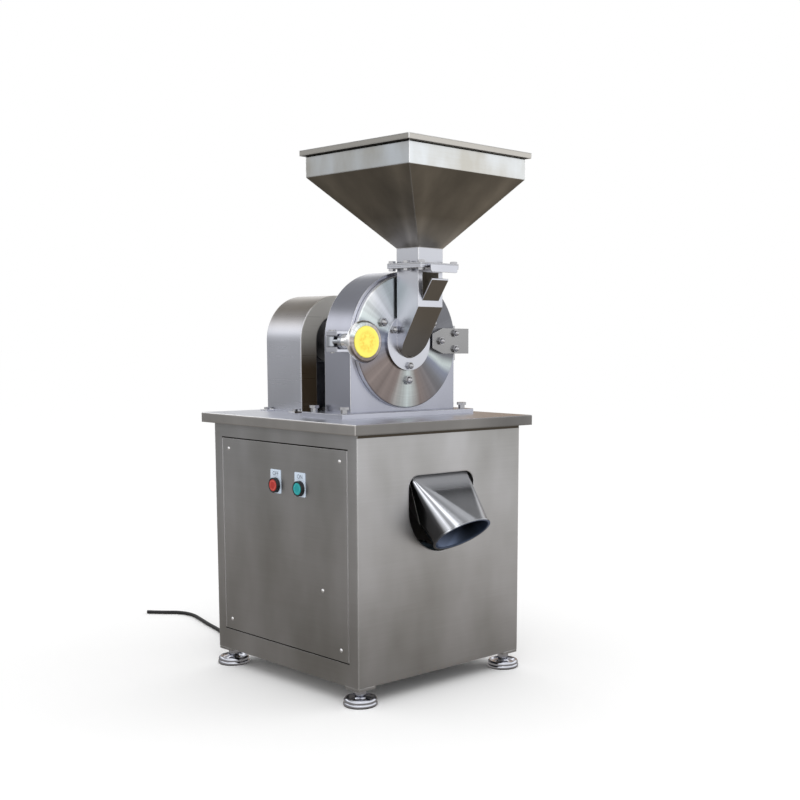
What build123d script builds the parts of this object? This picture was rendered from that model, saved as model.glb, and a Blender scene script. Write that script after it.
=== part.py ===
from build123d import *
import math
import os

os.makedirs("parts", exist_ok=True)

# Sugar pulverizer: a belt-driven toothed-disc mill standing on a stainless cabinet.
# Millimetres. Z is up from the floor, the mill door and the spout face -Y,
# the control panel is on the -X side, and the mill's shaft runs along Y.

# Fits and gaps
running_fit = 0.05  # radial room of a turning shaft or pin
bolt_room = 0.25  # radial room of a bolt in its hole
free_gap = 0.4  # between faces that move past each other

# Table and cabinet
table_width = 560
table_depth = 600
table_height = 636
table_rim = 24
table_sheet = 3
table_corner = 3
table_edge = 2
sheet_bend = 1.5  # outside of a folded sheet edge
cabinet_inset = 23
cabinet_floor = 44
cabinet_sheet = 2
post_leg = 25
post_sheet = 3
foot_plate = 50
foot_plate_thick = 6
rail_width = 30
rail_height = 36
rail_inset = 35
cross_bar_width = 40
vent_length = 160
vent_height = 6
vent_pitch = 16
vent_count = 8
vent_drop = 120

# Control panel, set into the left side
panel_width = 482
panel_height = 477
panel_drop = 37
panel_gap = 3
panel_lip = 8
panel_screw_inset = 25
panel_screw_radius = 5
earth_screw_y = -151
earth_screw_drop = 86.5  # below the panel's middle
button_rise = 140.5  # above the panel's middle
stop_button_y = 22
button_pitch = 94
button_hole = 11.15
button_radius = 14
button_stem = 9
button_proud = 9
button_travel = 4
bezel_radius = 18
bezel_height = 6
legend_width = 40
legend_height = 56
legend_thick = 1.2
legend_rise = 9
contact_depth = 44
contact_width = 28
contact_height = 36

# Levelling feet
foot_inset = 25
pad_radius = 39
pad_height = 18.5
collar_radius = 12.5
collar_top = 25.5
pad_round = 2
pad_shoulder = 4.5
pad_ring = 7
stud_radius = 8
stud_top = 78
lock_nut_across = 24
lock_nut_height = 12

# Mill: shaft centre line, base plate, chamber
mill_x = 10
base_plate_side = 45  # plate beside the chamber
base_plate_depth = 155
base_plate_thick = 12
base_plate_front = -156
base_bolt_inset = 22
base_collar_radius = 8
base_collar_height = 9
chamber_radius = 164
chamber_front = -129
chamber_depth = 94
chamber_back_wall = 12
chamber_wall = 14
plate_chamfer = 1
throat_width = 130
throat_depth = 62

# Door and its toothed disc
door_step = 8  # door inside the chamber's rim
door_round = 3
door_thick = 12
door_gap = 1  # taken up by the seal
seal_width = 5
seal_inset = 3
seal_groove = 3
stator_room = 9  # inside the screen
stator_thick = 10
stator_hole_step = 5  # round the door's feed hole
stator_row_insets = (49, 19)  # rows inside the disc's edge
stator_counts = (14, 20)
stator_nut_step = 23  # nuts outside the duct's flange
dome_share = 0.85  # round cap of a dome nut against its flats

# Rotor
tooth_length = 31
tooth_radial = 7
tooth_width = 10
tooth_end_gap = 6
rotor_room = 6  # inside the screen
rotor_thick = 16
rotor_row_insets = (67, 37, 8)
rotor_counts = (10, 16, 24)
rotor_hub_radius = 28
rotor_hub_length = 14
shaft_thread_radius = 12
shaft_end_radius = 15
shaft_bearing_radius = 17.5
rotor_nut_across = 36
rotor_nut_length = 20
rotor_nut_round = 5
rotor_nut_end = 3
screen_room = 17  # inside the cavity
screen_wall = 3
screen_slots = 40
screen_slot_width = 5
screen_slot_length = 46
screen_front_gap = 3

# Bearing housing
housing_flange_radius = 75
housing_flange_thick = 12
housing_radius = 52
housing_length = 138
housing_bore = 40
housing_waist = 36
bearing_width = 21
bearing_inset = 6
cap_radius = 58
cap_thick = 7
seal_bore = 30
pedestal_foot_width = 150
pedestal_foot_depth = 92
pedestal_foot_thick = 14
pedestal_front = 4
pedestal_web = 70
pedestal_slant = 30  # web inside the foot's ends
pedestal_neck = 0.85  # web's top against the housing
pedestal_bolt_x = 14
pedestal_bolt_y = 16

# Belt drive and motor
pulley_y = 184
pulley_width = 48
shaft_pulley_radius = 52
motor_pulley_radius = 79
groove_pitch = 21
groove_top = 17.6
groove_depth = 13
groove_half_angle = 18
belt_top = 16
belt_height = 10
belt_sink = 0.5
belt_slot_side = 23  # slot past the pulley
belt_slot_depth = 70
motor_height = 112  # motor shaft above its base
motor_base_thick = 8
motor_base_width = 270
motor_base_depth = 230
motor_radius = 88
motor_fin = 10
motor_fin_width = 4
motor_fins = 20
motor_front = 132
motor_length = 260
motor_shaft_radius = 14
shield_radius = 80
shield_length = 14
cowl_radius = 96
cowl_length = 62
motor_foot_spread = 190
motor_foot_width = 44
motor_foot_length = 140
motor_foot_thick = 12
terminal_width = 60
terminal_height = 90
terminal_depth = 100
shaft_stub = 4  # shafts past their pulleys
cowl_round = 12
rail_gap = 2  # rails above the cabinet's floor line

# Belt guard
guard_radius = 114
guard_sheet = 2
guard_front = 124
guard_depth = 145
guard_mouth_radius = 66
guard_tab = 26
guard_tab_reach = 22
guard_tab_thick = 3
guard_corner = 3

# Feed duct, slide gate and hopper
duct_width = 76
duct_depth = 74
duct_wall = 3
duct_clear = 12  # duct's flange above the door
duct_slope_rise = 81  # above the shaft
duct_flange_reach = 10  # past three quarters of the duct's width
duct_bolt_inset = 11
duct_flange_thick = 6
intake_side = 12.5  # duct's front beside the intake
intake_height = 61
intake_drop = 8  # below the duct's flange
lip_reach = 33
lip_rise = 46
lip_thick = 3
flange_side = 22  # flange beside the duct
flange_front = 33  # flange in front of the duct
flange_back = 11
flange_thick = 4
gate_side = 3  # gate past the duct
gate_thick = 3
gate_cover = 6
gate_lip_front = 14
gate_lip_height = 17
gate_travel = 80
gate_bolt_inset = 9
gate_lip_round = 4
hopper_wall = 2
hopper_neck_tall = 35.2
hopper_setback = 14  # skirt centre behind the neck centre
hopper_cone_tall = 160
hopper_skirt_tall = 60
hopper_width = 358
rim_overhang = 10.5
rim_height = 12

# Door hinge
hinge_reach = 22  # pin outside the chamber
hinge_depth = 24  # pin behind the chamber's front
hinge_rise = 3  # strap's middle above the shaft
hinge_pin_radius = 4
hinge_pin_above = 7  # past the strap
hinge_pin_below = 17
knuckle_radius = 14
strap_clear = 5  # strap beside the duct's flange
strap_taper = 34  # slanted ends of the strap
strap_nose = 34
strap_height = 61
strap_thick = 10
strap_bolt_near = 26
strap_bolt_far = 74
strap_bolt_spread = 19
hinge_lug_thick = 9.5
hinge_lug_inset = 6  # inside the strap's height
hinge_lug_radius = 15
pin_overhang = 2.5
pin_head = 2

# Door lock
lock_reach = 30  # pivot outside the chamber
lock_depth = 26  # pivot behind the chamber's front
lock_spread = 24  # clevis, above and below the bolt
lock_lug_thick = 12
lock_lug_radius = 14
lock_lug_reach = 34  # lugs in front of the pivot
lock_pin_radius = 6
bolt_eye_radius = 14
bolt_rod_radius = 9
claw_thick = 10
claw_height = 28
claw_ring = 18
claw_clear = 1.2
knob_radius = 47.5
knob_length = 71.2
knob_round = 6
knob_shoulder = 12
knob_disc = 17
knob_hub_radius = 17
knob_neck_radius = 25
knob_cap_radius = 35
knob_cap_thick = 4
knob_cap_proud = 2.5

# Discharge spout
cutout_x = -4
cutout_drop = 125  # below the table's top
cutout_width = 206
cutout_height = 182
cutout_corner = 28
spout_x = 0
spout_wall = 2
spout_flange = 16
chute_width = 146
spout_bend_depth = 7  # behind the cabinet's front
spout_bend_drop = 58  # below the cut-out's top
spout_bend_tilt = -8
spout_bend_width = 186
spout_bend_height = 108
spout_bend_corner = 6
mouth_clear = 4.79  # bead in front of the cabinet
mouth_drop = 80  # below the bend
mouth_tilt = 54.5
mouth_radius = 67
bead_height = 4
bead_reach = 2.5
bead_inset = 0.8

# Fasteners: half of the width across flats, head height, shank radius
large_bolt = (10, 10, 6)
small_bolt = (6.5, 5.5, 4)
base_bolt = (10.5, 6.5, large_bolt[2])
stator_nut = (10, 6, small_bolt[2])
door_nut = (8.5, 5.5, small_bolt[2])
gate_bolt = (7.5, 5.5, small_bolt[2])

# Supply cord and its gland
cord_radius = 5
gland_x = -118
gland_z = 84
gland_radius = 11
gland_length = 34
gland_inside = 8
cord_lift = 0.2  # cord above the floor

# Places that follow from the sizes above
cabinet_x = table_width / 2 - cabinet_inset
cabinet_y = table_depth / 2 - cabinet_inset
inner_x = cabinet_x - cabinet_sheet
inner_y = cabinet_y - cabinet_sheet
cabinet_top = table_height - table_sheet
cabinet_tall = cabinet_top - cabinet_floor
cabinet_mid = (cabinet_top + cabinet_floor) / 2
panel_z = table_height - table_rim - panel_drop - panel_height / 2
panel_face = -cabinet_x
button_z = panel_z + button_rise
earth_screw_z = panel_z - earth_screw_drop
start_button_y = stop_button_y - button_pitch
buttons = {"stop_button": stop_button_y, "start_button": start_button_y}
foot_x = cabinet_x - foot_inset
foot_y = cabinet_y - foot_inset
foot_plate_bottom = cabinet_floor - foot_plate_thick
corners = [(sx, sy) for sx in (-1, 1) for sy in (-1, 1)]

plate_top = table_height + base_plate_thick
mill_z = plate_top + chamber_radius
mill_rise = mill_z - table_height
cavity_radius = chamber_radius - chamber_wall
door_radius = chamber_radius - door_step
screen_inner = cavity_radius - screen_room
stator_radius = screen_inner - stator_room
rotor_radius = screen_inner - rotor_room
stator_rows = [stator_radius - inset for inset in stator_row_insets]
rotor_rows = [rotor_radius - inset for inset in rotor_row_insets]
base_plate_width = 2 * (chamber_radius + base_plate_side)
base_plate_y = base_plate_front + base_plate_depth / 2
chamber_back = chamber_front + chamber_depth
cavity_back = chamber_back - chamber_back_wall
outlet_y = (chamber_front + cavity_back) / 2
door_back = chamber_front - door_gap
door_front = door_back - door_thick
stator_front = door_back + stator_thick
stator_tip = stator_front + tooth_length
rotor_face = stator_tip + tooth_end_gap
rotor_back = rotor_face + rotor_thick
housing_back = chamber_back + housing_length
cap_back = housing_back + cap_thick
belt_slot_width = 2 * (shaft_pulley_radius + belt_slot_side)
pulley_back = pulley_y + pulley_width / 2
pulley_front = pulley_y - pulley_width / 2

rail_top = cabinet_floor + rail_gap + rail_height
cross_top = rail_top + rail_height
motor_base_top = cross_top + motor_base_thick
motor_z = motor_base_top + motor_height
motor_y = motor_front - motor_length / 2

feed_hole_radius = duct_width / 2 - duct_wall
stator_hole_radius = feed_hole_radius + stator_hole_step
duct_flange_radius = 3 * duct_width / 4 + duct_flange_reach
stator_nut_circle = duct_flange_radius + stator_nut_step
duct_bolt_circle = duct_flange_radius - duct_bolt_inset
intake_width = duct_width - 2 * intake_side
flange_width = duct_width + 2 * flange_side
gate_width = duct_width + 2 * gate_side
hopper_neck = duct_width
duct_top = mill_z + door_radius + duct_clear
duct_slope_top = mill_z + duct_slope_rise
intake_top = duct_top - intake_drop
intake_bottom = intake_top - intake_height
duct_back = door_front - duct_flange_thick
duct_front = duct_back - duct_depth
duct_y = (duct_back + duct_front) / 2
flange_low = duct_top
gate_floor = flange_low + flange_thick
gate_slot = gate_thick + 2 * free_gap
gate_roof = gate_floor + gate_slot
flange_high = gate_roof + flange_thick
flange_y_front = duct_front - flange_front
flange_y_back = duct_back + flange_back
flange_y = (flange_y_front + flange_y_back) / 2
flange_depth = flange_y_back - flange_y_front
gate_back = duct_back + gate_cover
gate_front = flange_y_front - gate_lip_front
neck_y = duct_y
hopper_y = neck_y + hopper_setback
hopper_cone_bottom = flange_high + hopper_neck_tall
hopper_skirt_bottom = hopper_cone_bottom + hopper_cone_tall
hopper_top = hopper_skirt_bottom + hopper_skirt_tall

chamber_right = mill_x + chamber_radius
chamber_left = mill_x - chamber_radius
hinge_x = chamber_right + hinge_reach
hinge_y = chamber_front + hinge_depth
hinge_z = mill_z + hinge_rise
strap_left = mill_x + duct_flange_radius + strap_clear
strap_back = door_front
strap_front = strap_back - strap_thick
hinge_low = hinge_z - strap_height / 2
hinge_high = hinge_z + strap_height / 2
lock_x = chamber_left - lock_reach
lock_pivot_y = chamber_front + lock_depth
lock_z = mill_z
claw_back = door_front - free_gap
claw_front = claw_back - claw_thick
knob_back = claw_front - free_gap
knob_front = knob_back - knob_length

cutout_top = table_height - cutout_drop
spout_bend_y = spout_bend_depth - cabinet_y
spout_bend_z = cutout_top - spout_bend_drop
mouth_slant = math.radians(mouth_tilt)
bead_radius = mouth_radius + spout_wall + bead_reach
mouth_y = -cabinet_y - mouth_clear - bead_radius * math.sin(mouth_slant)
mouth_z = spout_bend_z - mouth_drop

# Way of the supply cord: out of the gland, down to the floor and along it
cord_z = cord_radius + cord_lift
cord_points = [
    (gland_x + across, cabinet_y + back, height)
    for across, back, height in (
        (0, 6, gland_z),
        (0, 55, gland_z),
        (3, 109, 69),
        (9, 165, 38),
        (19, 225, 6.5),
        (38, 285, cord_z),
        (52, 356, cord_z),
        (70, 426, cord_z),
        (85, 490, cord_z),
        (74, 542, cord_z),
        (36, 577, cord_z),
        (7, 614, cord_z),
    )
]


def level(z):
    """Horizontal plane at a height."""
    return Plane.XY.offset(z)


def front_view(y):
    """Plane of X and Z at a depth, whose positive side is the front."""
    return Plane(origin=(0, y, 0), x_dir=(1, 0, 0), z_dir=(0, -1, 0))


def side_view(x):
    """Plane of Y and Z at a distance to the right."""
    return Plane(origin=(x, 0, 0), x_dir=(0, 1, 0), z_dir=(1, 0, 0))


def mill_face(y):
    """Plane of X and Z centred on the mill's shaft, whose positive side is the front."""
    return Plane(origin=(mill_x, y, mill_z), x_dir=(1, 0, 0), z_dir=(0, -1, 0))


mill_side = Plane(origin=(mill_x, 0, mill_z), x_dir=(0, 1, 0), z_dir=(1, 0, 0))
mill_axis = Axis((mill_x, 0, mill_z), (0, 1, 0))
motor_side = Plane(origin=(mill_x, 0, motor_z), x_dir=(0, 1, 0), z_dir=(1, 0, 0))
motor_axis = Axis((mill_x, 0, motor_z), (0, 1, 0))
lock_side = Plane(origin=(lock_x, 0, lock_z), x_dir=(0, 1, 0), z_dir=(1, 0, 0))
lock_axis = Axis((lock_x, 0, lock_z), (0, 1, 0))


def write(piece, name):
    """Names a finished piece and writes it."""
    piece.part.label = name
    export_step(piece.part, f"parts/{name}.step")


def add_bolts(plane, places, bolt, shank):
    """Adds hexagon bolts whose heads stand on a plane to the piece being made."""
    half_across, head, radius = bolt
    with BuildSketch(plane) as heads:
        with Locations(*places):
            RegularPolygon(half_across, 6, major_radius=False)
    extrude(heads.sketch, amount=head)
    with BuildSketch(plane) as shanks:
        with Locations(*places):
            Circle(radius)
    extrude(shanks.sketch, amount=-shank)


def add_nuts(plane, places, bolt):
    """Adds hexagon nuts that hang below a plane, round the bolts that pass through it."""
    half_across, head, radius = bolt
    with BuildSketch(plane) as nuts:
        with Locations(*places):
            RegularPolygon(half_across, 6, major_radius=False)
    extrude(nuts.sketch, amount=-head)


def circle_places(radius, angles):
    """Points on a circle at the given angles in degrees."""
    turns = [math.radians(a) for a in angles]
    return [(radius * math.cos(a), radius * math.sin(a)) for a in turns]


def corner_places(centre, width, depth):
    """Corners of a rectangle round a centre."""
    return [(centre[0] + sx * width / 2, centre[1] + sy * depth / 2) for sx, sy in corners]


def add_dome_nuts(y, places, nut, shank):
    """Adds dome nuts in front of a depth, with their studs behind it, at pairs of X and Z."""
    add_bolts(front_view(y), places, nut, shank)
    radius = dome_share * nut[0]
    slant = radius / math.sqrt(2)
    for x, z in places:
        middle = (x, y - nut[1], z)
        with BuildSketch(Plane(origin=middle, x_dir=(1, 0, 0), z_dir=(0, 0, 1))) as dome:
            with BuildLine():
                Line((0, 0), (radius, 0))
                ThreePointArc((radius, 0), (slant, -slant), (0, -radius))
                Line((0, -radius), (0, 0))
            make_face()
        revolve(dome.sketch, axis=Axis(middle, (0, 1, 0)))


def on_mill(places):
    """Moves places round the mill's shaft to pairs of X and Z."""
    return [(mill_x + x, mill_z + z) for x, z in places]


# Places of the bolts on the door
bolt_angles = (30, 150, 270)
stator_bolts = circle_places(stator_nut_circle, bolt_angles)
duct_bolts = circle_places(duct_bolt_circle, bolt_angles)

# Places of the bolts that go down into the table
base_bolts = corner_places(
    (mill_x, base_plate_y),
    base_plate_width - 2 * base_bolt_inset,
    base_plate_depth - 2 * base_bolt_inset,
)
pedestal_y = pedestal_front + pedestal_foot_depth / 2
pedestal_bolts = corner_places(
    (mill_x, pedestal_y),
    pedestal_foot_width - 2 * pedestal_bolt_x,
    pedestal_foot_depth - 2 * pedestal_bolt_y,
)
guard_y = guard_front + guard_depth / 2
guard_tabs_width = 2 * guard_radius + guard_tab_reach
guard_tabs = corner_places((mill_x, guard_y), guard_tabs_width, guard_depth - guard_tab)

# Table top: a tray with folded rims, open for the discharge and the belts
with BuildPart() as table_top:
    with BuildSketch(level(table_height - table_rim)):
        RectangleRounded(table_width, table_depth, table_corner)
    extrude(amount=table_rim)
    with BuildSketch(level(table_height - table_rim)):
        Rectangle(table_width - 2 * table_sheet, table_depth - 2 * table_sheet)
    extrude(amount=table_rim - table_sheet, mode=Mode.SUBTRACT)
    fillet(table_top.faces().sort_by(Axis.Z)[-1].outer_wire().edges(), table_edge)
    with BuildSketch(level(table_height)):
        with Locations((mill_x, outlet_y)):
            Rectangle(throat_width, throat_depth)
        with Locations((mill_x, pulley_y)):
            Rectangle(belt_slot_width, belt_slot_depth)
        with Locations(*base_bolts, *pedestal_bolts):
            Circle(large_bolt[2] + bolt_room)
        with Locations(*guard_tabs):
            Circle(small_bolt[2] + bolt_room)
    extrude(amount=-table_sheet, mode=Mode.SUBTRACT)
write(table_top, "table_top")

# Cabinet panels
arch_z = cutout_top - cutout_height + cutout_width / 2
with BuildPart() as front_panel:
    with BuildSketch(front_view(-inner_y)):
        with Locations((0, cabinet_mid)):
            Rectangle(2 * cabinet_x, cabinet_tall)
    extrude(amount=cabinet_sheet)
    fillet(front_panel.edges().filter_by(Axis.Z).group_by(Axis.Y)[0], sheet_bend)
    with BuildSketch(front_view(-inner_y)) as cutout:
        with BuildLine():
            Polyline(
                (cutout_x - cutout_width / 2, arch_z),
                (cutout_x - cutout_width / 2, cutout_top),
                (cutout_x + cutout_width / 2, cutout_top),
                (cutout_x + cutout_width / 2, arch_z),
            )
            ThreePointArc(
                (cutout_x + cutout_width / 2, arch_z),
                (cutout_x, cutout_top - cutout_height),
                (cutout_x - cutout_width / 2, arch_z),
            )
        make_face()
        fillet(cutout.vertices().group_by(Axis.Y)[-1], cutout_corner)
    extrude(amount=cabinet_sheet, mode=Mode.SUBTRACT)
write(front_panel, "cabinet_front_panel")

with BuildPart() as rear_panel:
    with BuildSketch(front_view(cabinet_y)):
        with Locations((0, cabinet_mid)):
            Rectangle(2 * cabinet_x, cabinet_tall)
        with Locations((gland_x, gland_z)):
            Circle(gland_radius + bolt_room, mode=Mode.SUBTRACT)
        with Locations((0, cabinet_top - vent_drop)):
            with GridLocations(0, vent_pitch, 1, vent_count):
                SlotOverall(vent_length, vent_height, mode=Mode.SUBTRACT)
    extrude(amount=cabinet_sheet)
    back_edges = rear_panel.edges().filter_by(Axis.Z).group_by(Axis.Y)[-1].sort_by(Axis.X)
    fillet([back_edges[0], back_edges[-1]], sheet_bend)
write(rear_panel, "cabinet_rear_panel")

with BuildPart() as right_panel:
    with BuildSketch(side_view(inner_x)):
        with Locations((0, cabinet_mid)):
            Rectangle(2 * inner_y, cabinet_tall)
    extrude(amount=cabinet_sheet)
write(right_panel, "cabinet_right_panel")

with BuildPart() as left_frame:
    with BuildSketch(side_view(-cabinet_x)):
        with Locations((0, cabinet_mid)):
            Rectangle(2 * inner_y, cabinet_tall)
        with Locations((0, panel_z)):
            Rectangle(panel_width + 2 * panel_gap, panel_height + 2 * panel_gap, mode=Mode.SUBTRACT)
    extrude(amount=cabinet_sheet)
    with BuildSketch(side_view(-inner_x)):
        with Locations((0, panel_z)):
            Rectangle(panel_width + 2 * panel_lip, panel_height + 2 * panel_lip)
            Rectangle(panel_width - 2 * panel_lip, panel_height - 2 * panel_lip, mode=Mode.SUBTRACT)
    extrude(amount=cabinet_sheet)
write(left_frame, "cabinet_left_frame")

# Corner posts on the plates that the feet screw into
with BuildPart() as corner_posts:
    with BuildSketch(level(cabinet_floor)):
        for sx, sy in corners:
            with Locations((sx * (inner_x - post_leg / 2), sy * (inner_y - post_leg / 2))):
                Rectangle(post_leg, post_leg)
        for sx, sy in corners:
            inside = post_sheet + post_leg / 2
            with Locations((sx * (inner_x - inside), sy * (inner_y - inside))):
                Rectangle(post_leg, post_leg, mode=Mode.SUBTRACT)
    extrude(amount=cabinet_tall)
    with BuildSketch(level(foot_plate_bottom)):
        for sx, sy in corners:
            with Locations((sx * (cabinet_x - foot_plate / 2), sy * (cabinet_y - foot_plate / 2))):
                RectangleRounded(foot_plate, foot_plate, table_corner)
            with Locations((sx * foot_x, sy * foot_y)):
                Circle(stud_radius + running_fit, mode=Mode.SUBTRACT)
    extrude(amount=foot_plate_thick)
write(corner_posts, "corner_posts")

# Rails across the cabinet floor that carry the motor
with BuildPart() as floor_rails:
    with BuildSketch(level(rail_top - rail_height)):
        for side in (-1, 1):
            with Locations((side * (inner_x - rail_inset - rail_width / 2), 0)):
                Rectangle(rail_width, 2 * inner_y)
    extrude(amount=rail_height)
    with BuildSketch(level(rail_top)):
        for side in (-1, 1):
            with Locations((0, motor_y + side * motor_base_depth / 3)):
                Rectangle(2 * (inner_x - rail_inset), cross_bar_width)
    extrude(amount=rail_height)
write(floor_rails, "floor_rails")

# Control panel with its screws, buttons and switchgear
panel_screws_at = corner_places(
    (0, panel_z), panel_width - 2 * panel_screw_inset, panel_height - 2 * panel_screw_inset
)
screw_shank = panel_screw_radius / 2
earth_screw_at = (earth_screw_y, earth_screw_z)

with BuildPart() as control_panel:
    with BuildSketch(side_view(panel_face)):
        with Locations((0, panel_z)):
            Rectangle(panel_width, panel_height)
        with Locations(*[(y, button_z) for y in buttons.values()]):
            Circle(button_hole, mode=Mode.SUBTRACT)
        with Locations(*panel_screws_at, earth_screw_at):
            Circle(screw_shank + bolt_room, mode=Mode.SUBTRACT)
    extrude(amount=cabinet_sheet)
write(control_panel, "control_panel")

with BuildPart() as panel_screws:
    for y, z in [*panel_screws_at, earth_screw_at]:
        with BuildSketch(Plane(origin=(panel_face, y, z), x_dir=(-1, 0, 0), z_dir=(0, 1, 0))):
            with BuildLine():
                Line((-cabinet_sheet, 0), (panel_screw_radius / 2, 0))
                ThreePointArc(
                    (panel_screw_radius / 2, 0),
                    (panel_screw_radius / 2.7, panel_screw_radius * 0.6),
                    (0, panel_screw_radius),
                )
                Line((0, panel_screw_radius), (0, screw_shank))
                Line((0, screw_shank), (-cabinet_sheet, screw_shank))
                Line((-cabinet_sheet, screw_shank), (-cabinet_sheet, 0))
            make_face()
        revolve(axis=Axis((0, y, z), (1, 0, 0)))
write(panel_screws, "panel_screws")

with BuildPart() as legend_plates:
    with BuildSketch(side_view(panel_face - legend_thick)):
        for y in buttons.values():
            with Locations((y, button_z + legend_rise)):
                RectangleRounded(legend_width, legend_height, table_corner)
            with Locations((y, button_z)):
                Circle(button_hole, mode=Mode.SUBTRACT)
    extrude(amount=legend_thick)
write(legend_plates, "legend_plates")

bezel_back = panel_face - legend_thick
with BuildPart() as button_bezels:
    for y in buttons.values():
        with BuildSketch(Plane(origin=(bezel_back, y, button_z), x_dir=(0, 1, 0), z_dir=(-1, 0, 0))):
            Circle(bezel_radius)
        extrude(amount=bezel_height, taper=12)
        with BuildSketch(Plane(origin=(bezel_back, y, button_z), x_dir=(0, 1, 0), z_dir=(-1, 0, 0))):
            Circle(button_radius + free_gap)
        extrude(amount=bezel_height, mode=Mode.SUBTRACT)
write(button_bezels, "button_bezels")

for button_name, y in buttons.items():
    with BuildPart() as push_button:
        cap_back_x = bezel_back - button_travel - free_gap
        with BuildSketch(Plane(origin=(cap_back_x, y, button_z), x_dir=(0, 1, 0), z_dir=(-1, 0, 0))):
            Circle(button_radius)
        extrude(amount=button_proud - button_travel - free_gap)
        fillet(push_button.edges().group_by(Axis.X)[0], 1)
        with BuildSketch(Plane(origin=(cap_back_x, y, button_z), x_dir=(0, 1, 0), z_dir=(1, 0, 0))):
            Circle(button_stem)
        extrude(amount=button_travel + free_gap + legend_thick + cabinet_sheet)
    write(push_button, button_name)

with BuildPart() as switchgear:
    with BuildSketch(side_view(-inner_x)):
        with Locations(*[(y, button_z) for y in buttons.values()]):
            Rectangle(contact_width, contact_height)
    extrude(amount=contact_depth)
    with BuildSketch(side_view(-inner_x)):
        with Locations(*[(y, button_z) for y in buttons.values()]):
            Circle(button_stem + free_gap)
    extrude(amount=contact_depth / 3, mode=Mode.SUBTRACT)
    with BuildSketch(side_view(-inner_x)):
        with Locations((stop_button_y + button_pitch, panel_z - contact_height)):
            Rectangle(2 * contact_width, 3 * contact_height)
    extrude(amount=contact_depth)
    with BuildSketch(side_view(-inner_x + contact_depth)):
        with Locations((stop_button_y + button_pitch, panel_z - contact_height)):
            Rectangle(2 * contact_width, 2 * contact_height)
    extrude(amount=contact_depth / 2)
write(switchgear, "switchgear")

# Levelling feet with their lock nuts
foot_names = {
    "foot_front_left": (-1, -1),
    "foot_front_right": (1, -1),
    "foot_rear_left": (-1, 1),
    "foot_rear_right": (1, 1),
}
for foot_name, (sx, sy) in foot_names.items():
    with BuildPart() as levelling_foot:
        with BuildSketch(Plane(origin=(sx * foot_x, sy * foot_y, 0), x_dir=(1, 0, 0), z_dir=(0, -1, 0))):
            with BuildLine():
                Line((0, 0), (pad_radius - pad_round, 0))
                ThreePointArc(
                    (pad_radius - pad_round, 0),
                    (pad_radius, pad_height / 4),
                    (pad_radius - pad_round, pad_height / 2),
                )
                ThreePointArc(
                    (pad_radius - pad_round, pad_height / 2),
                    (pad_radius - 0.6 * pad_round, 0.72 * pad_height),
                    (pad_radius - pad_shoulder, pad_height),
                )
                Line((pad_radius - pad_shoulder, pad_height), (pad_radius - pad_ring, pad_height))
                ThreePointArc(
                    (pad_radius - pad_ring, pad_height),
                    ((pad_radius - pad_ring + collar_radius) / 2 + pad_round / 4, 0.7 * pad_height),
                    (collar_radius, pad_height),
                )
                Polyline(
                    (collar_radius, pad_height),
                    (collar_radius, collar_top),
                    (stud_radius, collar_top),
                    (stud_radius, stud_top),
                    (0, stud_top),
                    (0, 0),
                )
            make_face()
        revolve(axis=Axis((sx * foot_x, sy * foot_y, 0), (0, 0, 1)))
    write(levelling_foot, foot_name)

with BuildPart() as foot_lock_nuts:
    with BuildSketch(level(foot_plate_bottom)):
        for sx, sy in corners:
            with Locations((sx * foot_x, sy * foot_y)):
                RegularPolygon(lock_nut_across / 2, 6, major_radius=False)
                Circle(stud_radius + running_fit, mode=Mode.SUBTRACT)
    extrude(amount=-lock_nut_height)
write(foot_lock_nuts, "foot_lock_nuts")

# Base plate and grinding chamber
with BuildPart() as mill_base_plate:
    with BuildSketch(level(table_height)):
        with Locations((mill_x, base_plate_y)):
            RectangleRounded(base_plate_width, base_plate_depth, table_corner)
        with Locations((mill_x, outlet_y)):
            Rectangle(throat_width, throat_depth, mode=Mode.SUBTRACT)
        with Locations(*base_bolts):
            Circle(large_bolt[2] + bolt_room, mode=Mode.SUBTRACT)
    extrude(amount=base_plate_thick)
    chamfer(mill_base_plate.faces().sort_by(Axis.Z)[-1].outer_wire().edges(), plate_chamfer)
write(mill_base_plate, "mill_base_plate")

with BuildPart() as mill_chamber:
    with BuildSketch(mill_face(chamber_back)):
        Circle(chamber_radius)
        Rectangle(2 * chamber_radius, mill_z - plate_top, align=(Align.CENTER, Align.MAX))
    extrude(amount=chamber_depth)
    with BuildSketch(mill_face(cavity_back)):
        Circle(cavity_radius)
    extrude(amount=chamber_depth, mode=Mode.SUBTRACT)
    with BuildSketch(level(plate_top)):
        with Locations((mill_x, outlet_y)):
            Rectangle(throat_width, throat_depth)
    extrude(amount=cavity_radius, mode=Mode.SUBTRACT)
    with BuildSketch(mill_face(chamber_back)):
        Circle(seal_bore)
    extrude(amount=chamber_back_wall, mode=Mode.SUBTRACT)
write(mill_chamber, "mill_chamber")

# Round door with its seal and toothed disc
with BuildPart() as mill_door:
    with BuildSketch(mill_face(door_back)):
        Circle(door_radius)
        Circle(feed_hole_radius, mode=Mode.SUBTRACT)
        with Locations(*stator_bolts):
            Circle(small_bolt[2] + bolt_room, mode=Mode.SUBTRACT)
    extrude(amount=door_thick)
    fillet(mill_door.faces().sort_by(Axis.Y)[0].edges().sort_by(SortBy.LENGTH)[-1], door_round)
    with BuildSketch(mill_face(door_back)):
        Circle(door_radius - seal_inset)
        Circle(door_radius - seal_inset - seal_width, mode=Mode.SUBTRACT)
    extrude(amount=seal_groove, mode=Mode.SUBTRACT)
write(mill_door, "mill_door")

with BuildPart() as door_seal:
    with BuildSketch(mill_face(chamber_front - free_gap)):
        Circle(door_radius - seal_inset)
        Circle(door_radius - seal_inset - seal_width, mode=Mode.SUBTRACT)
    extrude(amount=door_gap - free_gap + seal_groove)
write(door_seal, "door_seal")

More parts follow.
